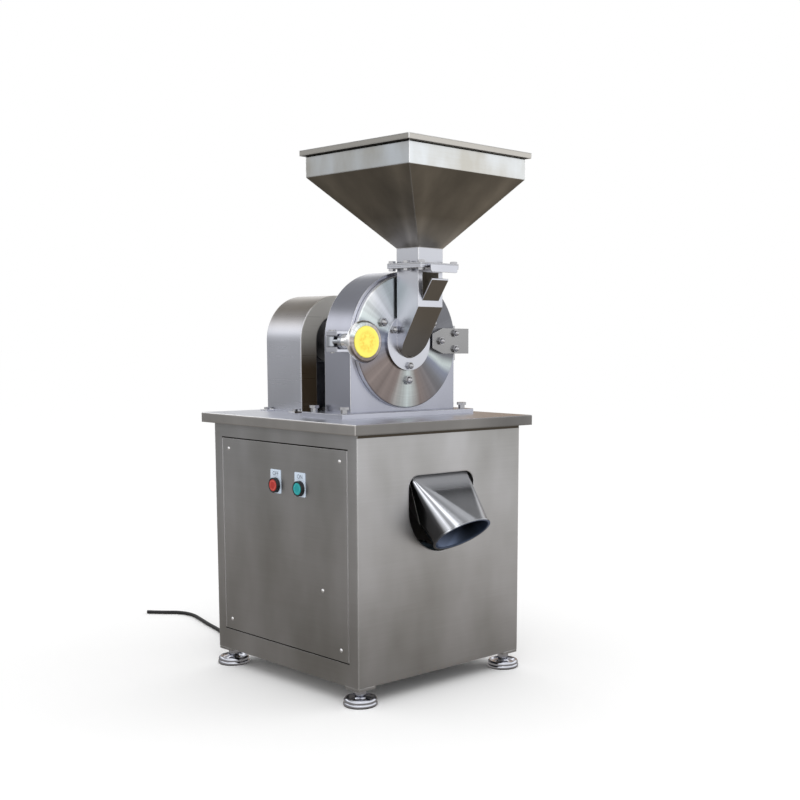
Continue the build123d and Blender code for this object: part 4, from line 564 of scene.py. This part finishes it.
@operator
class PULVERIZER_OT_stage(bpy.types.Operator):
    """Sets the camera, the pale floor, the soft light and the room that the metal mirrors"""

    bl_idname = "pulverizer.stage"
    bl_label = "Stage"

    def execute(self, context):
        scene = context.scene
        stage = scene.pulverizer_stage
        scene.view_settings.view_transform = "Standard"

        lens = bpy.data.cameras.new("camera")
        lens.sensor_width = SENSOR_WIDTH
        lens.lens = stage.focus_pixels / PHOTO_PIXELS * SENSOR_WIDTH
        lens.shift_x = 0.5 - stage.centre_right / PHOTO_PIXELS
        lens.shift_y = stage.centre_down / PHOTO_PIXELS - 0.5
        lens.clip_end = FAR_CLIP
        camera = bpy.data.objects.new("camera", lens)
        level, rise = math.cos(stage.elevation), math.sin(stage.elevation)
        back = Vector((math.sin(stage.azimuth) * level, -math.cos(stage.azimuth) * level, rise))
        turn = (-back).to_track_quat("-Z", "Y") @ Quaternion((0, 0, 1), stage.roll)
        stand = Vector(stage.target) + back * stage.distance
        camera.matrix_world = Matrix.Translation(stand) @ turn.to_matrix().to_4x4()
        scene.collection.objects.link(camera)
        scene.camera = camera

        # White all round for the camera and for what the metal shows, with its own strength as light
        world = bpy.data.worlds.new("studio")
        scene.world = world
        world.use_nodes = True
        add = partial(node, world.node_tree)
        rays = add("LightPath").node.outputs
        seen = add("Math", (rays["Is Camera Ray"], rays["Is Glossy Ray"]), "MAXIMUM")
        shown = add("Math", (seen, rays["Is Transmission Ray"]), "MAXIMUM")
        power = add("MapRange", (shown, 0, 1, stage.soft_light, 1.0))
        plug(world.node_tree.nodes["Background"], {"Color": (1, 1, 1, 1), "Strength": power})

        # Matt white floor that keeps a faint contact shadow
        ground = bmesh.new()
        bmesh.ops.create_circle(ground, cap_ends=True, radius=FLOOR_RADIUS, segments=ROUND)
        made, _, shader, _ = new_material("matt floor")
        plug(shader, {"Base Color": stage.floor, "Roughness": 1.0, "Specular IOR Level": 0.0})
        self.keep(ground, "floor", made)

        self.room_floor(stage)
        self.room_wall(stage)
        # A large soft box over the left shoulder and a weaker one from the right
        for name, size, power, spot in (("key", 1.6, 20, (-2.2, -2.6, 3.0)),
                                        ("fill", 2.0, 10, (3.0, -2.0, 2.4))):
            lamp = bpy.data.lights.new(name, "AREA")
            lamp.size = size
            lamp.energy = power
            holder = bpy.data.objects.new(name, lamp)
            aim = (Vector(LAMP_TARGET) - Vector(spot)).to_track_quat("-Z", "Y")
            holder.matrix_world = Matrix.Translation(spot) @ aim.to_matrix().to_4x4()
            scene.collection.objects.link(holder)
        return {"FINISHED"}

    def room_floor(self, stage):
        """Lays the dull floor that only reflections meet, dim near the machine and lighter to its right."""
        ground = bmesh.new()
        bmesh.ops.create_circle(ground, cap_ends=True, radius=stage.room, segments=ROUND)
        bmesh.ops.translate(ground, verts=ground.verts, vec=(0, 0, 0.3 * MM))
        add, place, glow = self.mirrored(ground, "room_floor")
        flat = add("VectorMath", (place, (1, 1, 0)), "MULTIPLY")
        away = add("VectorMath", {0: flat}, "LENGTH", out="Value")
        far = add("MapRange", (away, 1.0, stage.room, 0.27, 0.48), **SMOOTH)
        side = add("VectorMath", (place, RIGHT), **DOT)
        gain = add("MapRange", (side, 0.0, 1.2, 1.0, 1.5), **SMOOTH)
        power = add("Math", (far, gain), "MULTIPLY")
        plug(glow, {"Color": stage.ground_tint, "Strength": power})

    def room_wall(self, stage):
        """Stands the wall that only reflections meet: pale ahead, grey behind, wood behind on the right."""
        wall = bmesh.new()
        bmesh.ops.create_cone(wall, cap_ends=False, radius1=stage.room, radius2=stage.room,
                              depth=stage.room_height, segments=ROUND)
        bmesh.ops.translate(wall, verts=wall.verts, vec=(0, 0, stage.room_height / 2))
        add, place, glow = self.mirrored(wall, "room_wall")
        parts = add("SeparateXYZ", {0: place}).node.outputs
        front = add("MapRange", (parts["Y"], stage.room * 0.45, -stage.room * 0.45), **SMOOTH)
        height = add("Math", (parts["Z"], stage.room_height), "DIVIDE")
        # Heights in metres, each with its light
        ahead, behind = (
            fill_ramp(add("ValToRGB", {0: height}),
                      [(at / stage.room_height, grey(light)) for at, light in steps])
            for steps in (((0.5, 0.92), (1.0, 1.3), (2.0, 1.2), (2.7, 1.0)),
                          ((0.4, 0.3), (0.8, 0.5), (1.1, 0.6), (1.6, 1.5), (2.1, 1.4), (2.7, 0.4))))
        half = add("Mix", {0: front, "A": behind, "B": ahead}, **COLOURS)
        shade = add("MapRange", (parts["X"], stage.room * 0.4, stage.room * 0.8, RAMP_LIGHT,
                                 RAMP_LIGHT / 2))
        climb = add("MapRange", (parts["Z"], 1.6, 2.4))
        gain = add("Mix", {0: climb, "A": RAMP_LIGHT, "B": shade}, data_type="FLOAT")
        plain = add("VectorMath", {0: half, "Scale": gain}, "SCALE")
        right = add("VectorMath", (place, BEHIND), **DOT)
        wood = add("MapRange", (right, stage.room * 0.75, stage.room * 0.97))
        side = add("VectorMath", (place, RIGHT), **DOT)
        past = add("MapRange", (side, -0.2, 0.35))
        board = add("Math", (wood, past), "MULTIPLY")
        shown = add("Mix", {0: board, "A": plain, "B": stage.wood_tint}, **COLOURS)
        plug(glow, {"Color": shown})

    def mirrored(self, shape, name):
        """Makes a glowing object that only mirror rays meet; gives its node adder, place and glow."""
        made, add, shader, place = new_material(name.replace("_", " "))
        card = self.keep(shape, name, made)
        for rays in ("camera", "diffuse", "shadow", "transmission"):
            setattr(card, "visible_" + rays, False)
        nodes = made.node_tree.nodes
        nodes.remove(shader)
        glow = add("Emission", {"Strength": 1.0})
        plug(nodes["Material Output"], {"Surface": glow})
        made.cycles.emission_sampling = "NONE"
        return add, place, glow.node

    def keep(self, shape, name, material):
        """Makes a stage object from a bmesh."""
        made = from_bmesh(shape, name, material)
        return made


@operator
class PULVERIZER_OT_cord(bpy.types.Operator):
    """Lays the supply cord from its gland along the floor to its cut end"""

    bl_idname = "pulverizer.cord"
    bl_label = "Supply cord"

    def execute(self, context):
        sizes = context.scene.pulverizer_sizes
        line = bpy.data.curves.new("supply_cord", "CURVE")
        line.dimensions = "3D"
        line.bevel_depth = sizes.cord_radius
        line.bevel_resolution = 5
        line.resolution_u = 16
        line.use_fill_caps = True
        route = line.splines.new("NURBS")
        points = ((-118, 283, 84), (-118, 332, 84), (-115, 386, 69), (-109, 442, 38), (-99, 502, 6.5),
                  (-80, 562, 5.2), (-66, 633, 5.2), (-48, 703, 5.2), (-33, 767, 5.2), (-44, 819, 5.2),
                  (-82, 854, 5.2), (-111, 891, 5.2))
        route.points.add(len(points) - 1)
        for spot, place in zip(route.points, points):
            spot.co = (*(size * MM for size in place), 1)
        route.order_u = 3
        route.use_endpoint_u = True
        cord = bpy.data.objects.new("supply_cord", line)
        context.scene.collection.objects.link(cord)
        # Rubber jacket: matt black with a soft sheen, so the round of the cord reads
        line.materials.append(moulded("rubber jacket", finish().rubber, rough=0.5, grain=2, depth=0.05))
        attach(cord, "machine")
        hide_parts("power_cord")
        # Gland: plain black with a dull shine
        dress(moulded("gland nylon", finish().black, rough=0.45, grain=1.5, depth=0.05), "cable_gland")
        return {"FINISHED"}


@operator
class PULVERIZER_OT_cabinet(bpy.types.Operator):
    """Finishes the table, the cabinet's panels, its posts and its floor rails"""

    bl_idname = "pulverizer.cabinet"
    bl_label = "Cabinet"

    def execute(self, context):
        tints = finish()
        # Belt-brushed stainless: nearly even grey, faint level lines, folds with a painted highlight as a
        # bright thread
        fold = detail().fold
        panels = {"pale": tints.steel_pale, "deep": tints.steel_deep, "rough": 0.36}
        dress(brushed_steel("brushed stainless, panels", edge=fold, **panels), "cabinet_rear_panel",
              "cabinet_right_panel")
        # Painted shade on the table rim's sides, with the left-facing rim painted lighter
        top = brushed_steel("brushed stainless, table", tints.bright_pale, tints.bright_deep, rough=0.3,
                            under=tints.rim_shade, slope=(0.7, 0.3), left=2.5, edge=fold)
        dress(top, "table_top")
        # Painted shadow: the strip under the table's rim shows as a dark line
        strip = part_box("table_top")[0][2] - 8 * MM
        front = brushed_steel("brushed stainless, front panel", edge=fold, high=((strip, tints.overhang),),
                              **panels)
        dress(front, "cabinet_front_panel")
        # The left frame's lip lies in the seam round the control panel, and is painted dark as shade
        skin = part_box("cabinet_left_frame")[0][0] + 1 * MM
        side = brushed_steel("brushed stainless, left frame", seam=(skin, *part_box("control_panel"), 4 * MM),
                             **panels)
        dress(side, "cabinet_left_frame")
        dress(brushed_steel("brushed stainless, control panel", **panels), "control_panel", "corner_posts",
              "floor_rails")
        return {"FINISHED"}


@operator
class PULVERIZER_OT_controls(bpy.types.Operator):
    """Finishes the push buttons, their bezels, the legend plates and the switchgear"""

    bl_idname = "pulverizer.controls"
    bl_label = "Controls"

    def execute(self, context):
        tints = finish()
        # Bezels and collars: satin black with a thin gleam on the rim; plates: smooth bluish white
        dress(moulded("black bezel nylon", tints.black, rough=0.35, grain=1.5, depth=0.03),
              "button_bezels", "switchgear")
        dress(moulded("white legend ABS", tints.white, rough=0.4, grain=2, depth=0.02), "legend_plates")
        # Button faces: a clear colour with a paler patchy ring near the rim
        for name, button, tint, ring in (
                ("red button ABS", "stop_button", tints.red, tints.red_ring),
                ("green button ABS", "start_button", tints.green, tints.green_ring)):
            face = ringed_plastic(name, tint, ring, button, (0, 1, 1), low=8, high=13, grain=4, rough=0.3)
            dress(face, button)
        # Screws: small bright points
        dress(plain_metal("plated screws", tints.edge_bright, rough=0.3, grain=4), "panel_screws")
        collar_nylon = moulded("black collar nylon", tints.black, rough=0.3, grain=1.5, depth=0.03)
        # Print: flat slate grey
        ink = moulded("legend print", tints.ink, rough=0.6, grain=1, depth=0.01)
        plate_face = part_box("legend_plates")[0][0]
        for name, word in (("stop_button", "OFF"), ("start_button", "ON")):
            self.collar(name, collar_nylon)
            self.print_word(name, word, plate_face, ink)
        return {"FINISHED"}

    def collar(self, button, nylon):
        """Spins the rounded rim that stands round a push button, from its bezel to its face."""
        low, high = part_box(button)
        centre = middle(button)
        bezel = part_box("button_bezels")[0][0]
        wall = detail().collar
        clear, behind = 0.4 * MM, 0.3 * MM
        inner = (high[2] - low[2]) / 2 + clear
        face = low[0] + behind
        shape = bmesh.new()
        corners = [shape.verts.new((x, centre.y + out, centre.z)) for x, out in
                   ((bezel, inner), (face, inner), (face, inner + wall), (bezel, inner + wall))]
        edges = [shape.edges.new(pair) for pair in zip(corners, corners[1:] + corners[:1])]
        bmesh.ops.spin(shape, geom=corners + edges, cent=centre, axis=(1, 0, 0), angle=2 * math.pi,
                       steps=48, use_merge=True)
        bmesh.ops.remove_doubles(shape, verts=shape.verts, dist=0.001 * MM)
        bmesh.ops.recalc_face_normals(shape, faces=shape.faces)
        rims = [e for e in shape.edges if all(abs(v.co.x - face) < 0.01 * MM for v in e.verts)
                and len(e.link_faces) == 2 and e.calc_face_angle() > 1]
        bmesh.ops.bevel(shape, geom=rims, offset=1 * MM, affect="EDGES", segments=3, profile=0.5,
                        material=-1)
        self.place(shape, button + "_collar", nylon, "black_plastic")

    def print_word(self, button, word, plate_face, ink):
        """Prints a word above a push button, on its legend plate."""
        letters = bpy.data.curves.new(word, "FONT")
        letters.body = word
        letters.size = 13 * MM
        letters.align_x = "CENTER"
        letters.extrude = 0.03 * MM
        holder = bpy.data.objects.new(word, letters)
        mesh = bpy.data.meshes.new_from_object(holder)
        centre = middle(button)
        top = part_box("legend_plates")[1][2]
        turn = Matrix(((0, 0, -1), (-1, 0, 0), (0, 1, 0))).to_4x4()
        proud, drop = 0.04 * MM, 14 * MM
        spot = Matrix.Translation((plate_face - proud, centre.y, top - drop))
        shape = bmesh.new()
        shape.from_mesh(mesh)
        bmesh.ops.transform(shape, matrix=spot @ turn, verts=shape.verts)
        bpy.data.objects.remove(holder)
        self.place(shape, button + "_word", ink, "black_plastic")

    def place(self, shape, name, material, slot):
        """Makes a piece that rides on the machine from a bmesh."""
        piece = from_bmesh(shape, name, material)
        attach(piece, "machine")


@operator
class PULVERIZER_OT_feet(bpy.types.Operator):
    """Finishes the screw feet and their lock nuts"""

    bl_idname = "pulverizer.feet"
    bl_label = "Feet"

    def execute(self, context):
        # Chrome over two beads: sharp dark and light bands, down to a thin black rubber sole
        chrome = plain_metal("chromed feet", finish().bright_pale, rough=0.12, grain=30,
                             groove=(0, 1.5, 3, finish().rubber))
        dress(chrome, "foot_front_left", "foot_front_right", "foot_rear_left", "foot_rear_right",
              "foot_lock_nuts")
        return {"FINISHED"}


@operator
class PULVERIZER_OT_mill(bpy.types.Operator):
    """Finishes the mill's base plate, chamber, door, toothed discs, screen and bearing"""

    bl_idname = "pulverizer.mill"
    bl_label = "Mill"

    def execute(self, context):
        tints = finish()
        # Ground stainless: cooler and brighter than the cabinet sheet, with next to no lines
        bright = brushed_steel("ground stainless, mill", tints.mill_pale, tints.mill_deep, rough=0.24,
                               drawn=0.02, edge=detail().fold / 2)
        dress(bright, "mill_chamber")
        plate = brushed_steel("ground stainless, base plate", tints.plate_pale, tints.plate_deep,
                              rough=0.28, drawn=0.02)
        dress(plate, "mill_base_plate")
        # Lathe-turned stainless with painted reflection: fans of light, brown, green and blue round the
        # middle
        blue, brown, green, dark = tints.fan_blue, tints.fan_brown, tints.fan_green, tints.fan_dark
        fans = ((-178, blue), (-150, brown), (-112, brown), (-90, green), (-72, brown), (-42, dark),
                (-31, blue), (-24, green), (-15, dark), (40, dark), (80, blue), (118, green),
                (138, tints.fan_light), (158, green), (176, blue))
        dress(turned_steel("turned stainless, door", "mill_door", fans, rough=0.3), "mill_door")
        # Inside: bare turned steel with a fine mottle, pale soft rubber, dull black paint
        dress(plain_metal("machined steel", tints.machined, rough=0.25, grain=3), "stator_disc",
              "rotor_disc", "rotor_shaft", "rotor_nut", "motor_shaft", "bearings", "screen_ring")
        dress(moulded("pale silicone", tints.seal, rough=0.6, grain=2, depth=0.05), "door_seal")
        dress(moulded("black casting paint", tints.casting, rough=0.5, grain=3, depth=0.15),
              "bearing_housing", "bearing_cap")
        dress(moulded("black seal rubber", tints.rubber, rough=0.6, grain=2, depth=0.05), "shaft_seal")
        return {"FINISHED"}


@operator
class PULVERIZER_OT_feed(bpy.types.Operator):
    """Finishes the feed duct, its intake lip, the slide gate and the hopper"""

    bl_idname = "pulverizer.feed"
    bl_label = "Feed"

    def execute(self, context):
        tints = finish()
        fold = detail().fold
        # Ground stainless, bright and cool, with painted brown shade on the undersides
        ground = {"pale": tints.bright_pale, "deep": tints.bright_deep, "rough": 0.28, "drawn": 0.02,
                  "under": tints.duct_brown}
        dress(brushed_steel("ground stainless, duct", **ground), "intake_lip", "gate_frame", "slide_gate")
        # The duct's inside, seen through its window, is dull with sugar dust
        inside = (middle("hopper"), tints.duct_dust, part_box("intake_lip")[0][2])
        dress(brushed_steel("ground stainless, dusty duct", dusty=inside, **ground), "feed_duct")
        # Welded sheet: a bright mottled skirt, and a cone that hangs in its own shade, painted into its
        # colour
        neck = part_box("slide_gate")[1][2] + 60 * MM
        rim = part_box("hopper")[1][2] - 12.5 * MM
        # Painted highlights: soft streaks of light beside the cone's corners, by angle within each quarter
        # turn
        gleams = ((26, 0.95), (37, 1.3), (43, 1.0), (47, 0.95), (55, 1.2), (66, 0.95))
        # Painted shade: a dark strip just under the rim, and faces looking left darkened by the factor left
        sheet = brushed_steel("brushed stainless, hopper", tints.skirt_pale, tints.skirt_deep, rough=0.3,
                              cloud=80 * MM, under=tints.under_brown, edge=fold, left=0.46,
                              high=((rim - 2.5 * MM, tints.shadow), (rim, tints.hopper_rim)),
                              low=(neck - 15 * MM, neck + 45 * MM, tints.bright_deep, tints.under_grey),
                              streaks=(middle("hopper"), gleams))
        dress(sheet, "hopper")
        return {"FINISHED"}


@operator
class PULVERIZER_OT_lock(bpy.types.Operator):
    """Finishes the door's hinge, the swinging clamp, its knob and the knob's cap"""

    bl_idname = "pulverizer.lock"
    bl_label = "Door hinge and lock"

    def execute(self, context):
        tints = finish()
        # Hinge: ground bar, an even grey. Lock: polished, dark and light by turns
        bar = brushed_steel("ground stainless, straps", tints.strap_pale, tints.strap_deep, rough=0.26,
                            drawn=0.02)
        dress(bar, "hinge_strap", "hinge_lugs")
        dress(plain_metal("polished claw", tints.polished, rough=0.1, grain=25, edge=3),
              "clamp_claw", "swing_bolt")
        # The lugs shine outside, and the faces between them are painted dark as shade
        dress(plain_metal("polished lugs", tints.bright_pale, rough=0.1, grain=25, edge=3,
                          groove=(middle("clevis_lugs").z, 12, 14, tints.shadow)), "clevis_lugs")
        # Pins: bare turned steel, a little duller
        dress(plain_metal("machined pins", tints.machined, rough=0.25, grain=3), "hinge_pins")
        # Polished dish with painted reflection: one bright sweep over the top, warm and dark below
        knob, brown, green = tints.knob, tints.fan_brown, tints.fan_green
        sweep = ((-178, knob), (-125, brown), (-60, brown), (-10, knob), (45, knob), (105, green),
                 (140, tints.fan_light), (160, green), (176, knob))
        dress(turned_steel("polished knob", "clamp_knob", sweep, rough=0.16), "clamp_knob")
        # Cap: clear yellow, mottled warmer by handling
        dress(ringed_plastic("yellow cap ABS", tints.yellow, tints.yellow_ring, "knob_cap", (1, 0, 1),
                             low=3, high=27, grain=6, rough=0.35), "knob_cap")
        return {"FINISHED"}


@operator
class PULVERIZER_OT_drive(bpy.types.Operator):
    """Finishes the belt guard, belts, pulleys and motor"""

    bl_idname = "pulverizer.drive"
    bl_label = "Drive"

    def execute(self, context):
        tints = finish()
        axis = middle("mill_door").z
        # Bright arch with a dull front, painted brown towards its foot as shade, and a crown painted darker
        # and warmer as shade
        guard = brushed_steel("brushed stainless, guard", tints.bright_pale, tints.bright_deep, rough=0.28,
                              drawn=0.04, under=tints.guard_top, slope=(0.15, 0.7), thread=1.0,
                              edge=detail().fold,
                              front=(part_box("belt_guard")[0][1] + 4 * MM, axis - 70 * MM, axis + 40 * MM,
                                     tints.guard_shade_low, tints.guard_high))
        dress(guard, "belt_guard")
        # Matt black belts, dark grey iron, satin paint
        dress(moulded("belt rubber", tints.rubber, rough=0.65, grain=2, depth=0.1), "v_belts")
        dress(plain_metal("pulley iron", tints.pulley, rough=0.4, grain=3), "shaft_pulley", "motor_pulley")
        dress(moulded("motor paint", tints.motor, rough=0.4, grain=2.5, depth=0.06), "motor_body",
              "fan_cowl", "motor_base")
        return {"FINISHED"}


@operator
class PULVERIZER_OT_spout(bpy.types.Operator):
    """Finishes the discharge chute and the polished spout"""

    bl_idname = "pulverizer.spout"
    bl_label = "Discharge"

    def execute(self, context):
        tints = finish()
        # Hand-polished sheet: painted highlight streaks outside, and inside a dull bluish skin painted darker
        # further from the mouth as shade
        streaks = ((0.3, 0.3), (0.7, 0.38), (0.78, 1.5), (0.88, 2.3), (0.96, 0.7), (1.02, 0.8), (1.08, 2.4),
                   (1.17, 0.7), (1.27, 0.6), (1.37, 1.0))
        spout = spout_steel("polished stainless, spout", top=(0, -0.268, 0.453), down=(0, -0.669, -0.743),
                            corner=(-0.264, 0.507), streaks=streaks, inside_at=(70 * MM, 130 * MM),
                            dust_at=(-312 * MM, -274 * MM), rough=0.22)
        dress(spout, "discharge_spout")
        # Chute: the cabinet's own sheet
        dress(brushed_steel("brushed stainless, chute", tints.steel_pale, tints.steel_deep, rough=0.34),
              "discharge_chute")
        return {"FINISHED"}


@operator
class PULVERIZER_OT_fasteners(bpy.types.Operator):
    """Finishes the bolts and nuts"""

    bl_idname = "pulverizer.fasteners"
    bl_label = "Fasteners"

    def execute(self, context):
        # Nickel: small sharp highlights, a little darker than the sheet
        dress(plain_metal("nickel plate", finish().plated, rough=0.2, grain=6), "door_bolts", "table_bolts")
        return {"FINISHED"}


STEPS = [cls for cls in CLASSES if issubclass(cls, bpy.types.Operator)]


class PULVERIZER_PT_looks(bpy.types.Panel):
    """Lists the steps that dress the machine and the values they read"""

    bl_label = "Sugar pulverizer"
    bl_idname = "PULVERIZER_PT_looks"
    bl_space_type = "VIEW_3D"
    bl_region_type = "UI"
    bl_category = "Pulverizer"

    def draw(self, context):
        for step in STEPS:
            self.layout.operator(step.bl_idname)
        for group in (getattr(context.scene, name) for name in GROUPS):
            box = self.layout.box()
            for name in group.__annotations__:
                box.prop(group, name)


CLASSES.append(PULVERIZER_PT_looks)


def register():
    for cls in CLASSES:
        bpy.utils.register_class(cls)
    for name, group in GROUPS.items():
        setattr(bpy.types.Scene, name, PointerProperty(type=group))


def unregister():
    for name in GROUPS:
        delattr(bpy.types.Scene, name)
    for cls in reversed(CLASSES):
        bpy.utils.unregister_class(cls)


def main():
    register()
    for step in STEPS:
        area, name = step.bl_idname.split(".")
        getattr(getattr(bpy.ops, area), name)()


if __name__ == "__main__":
    main()
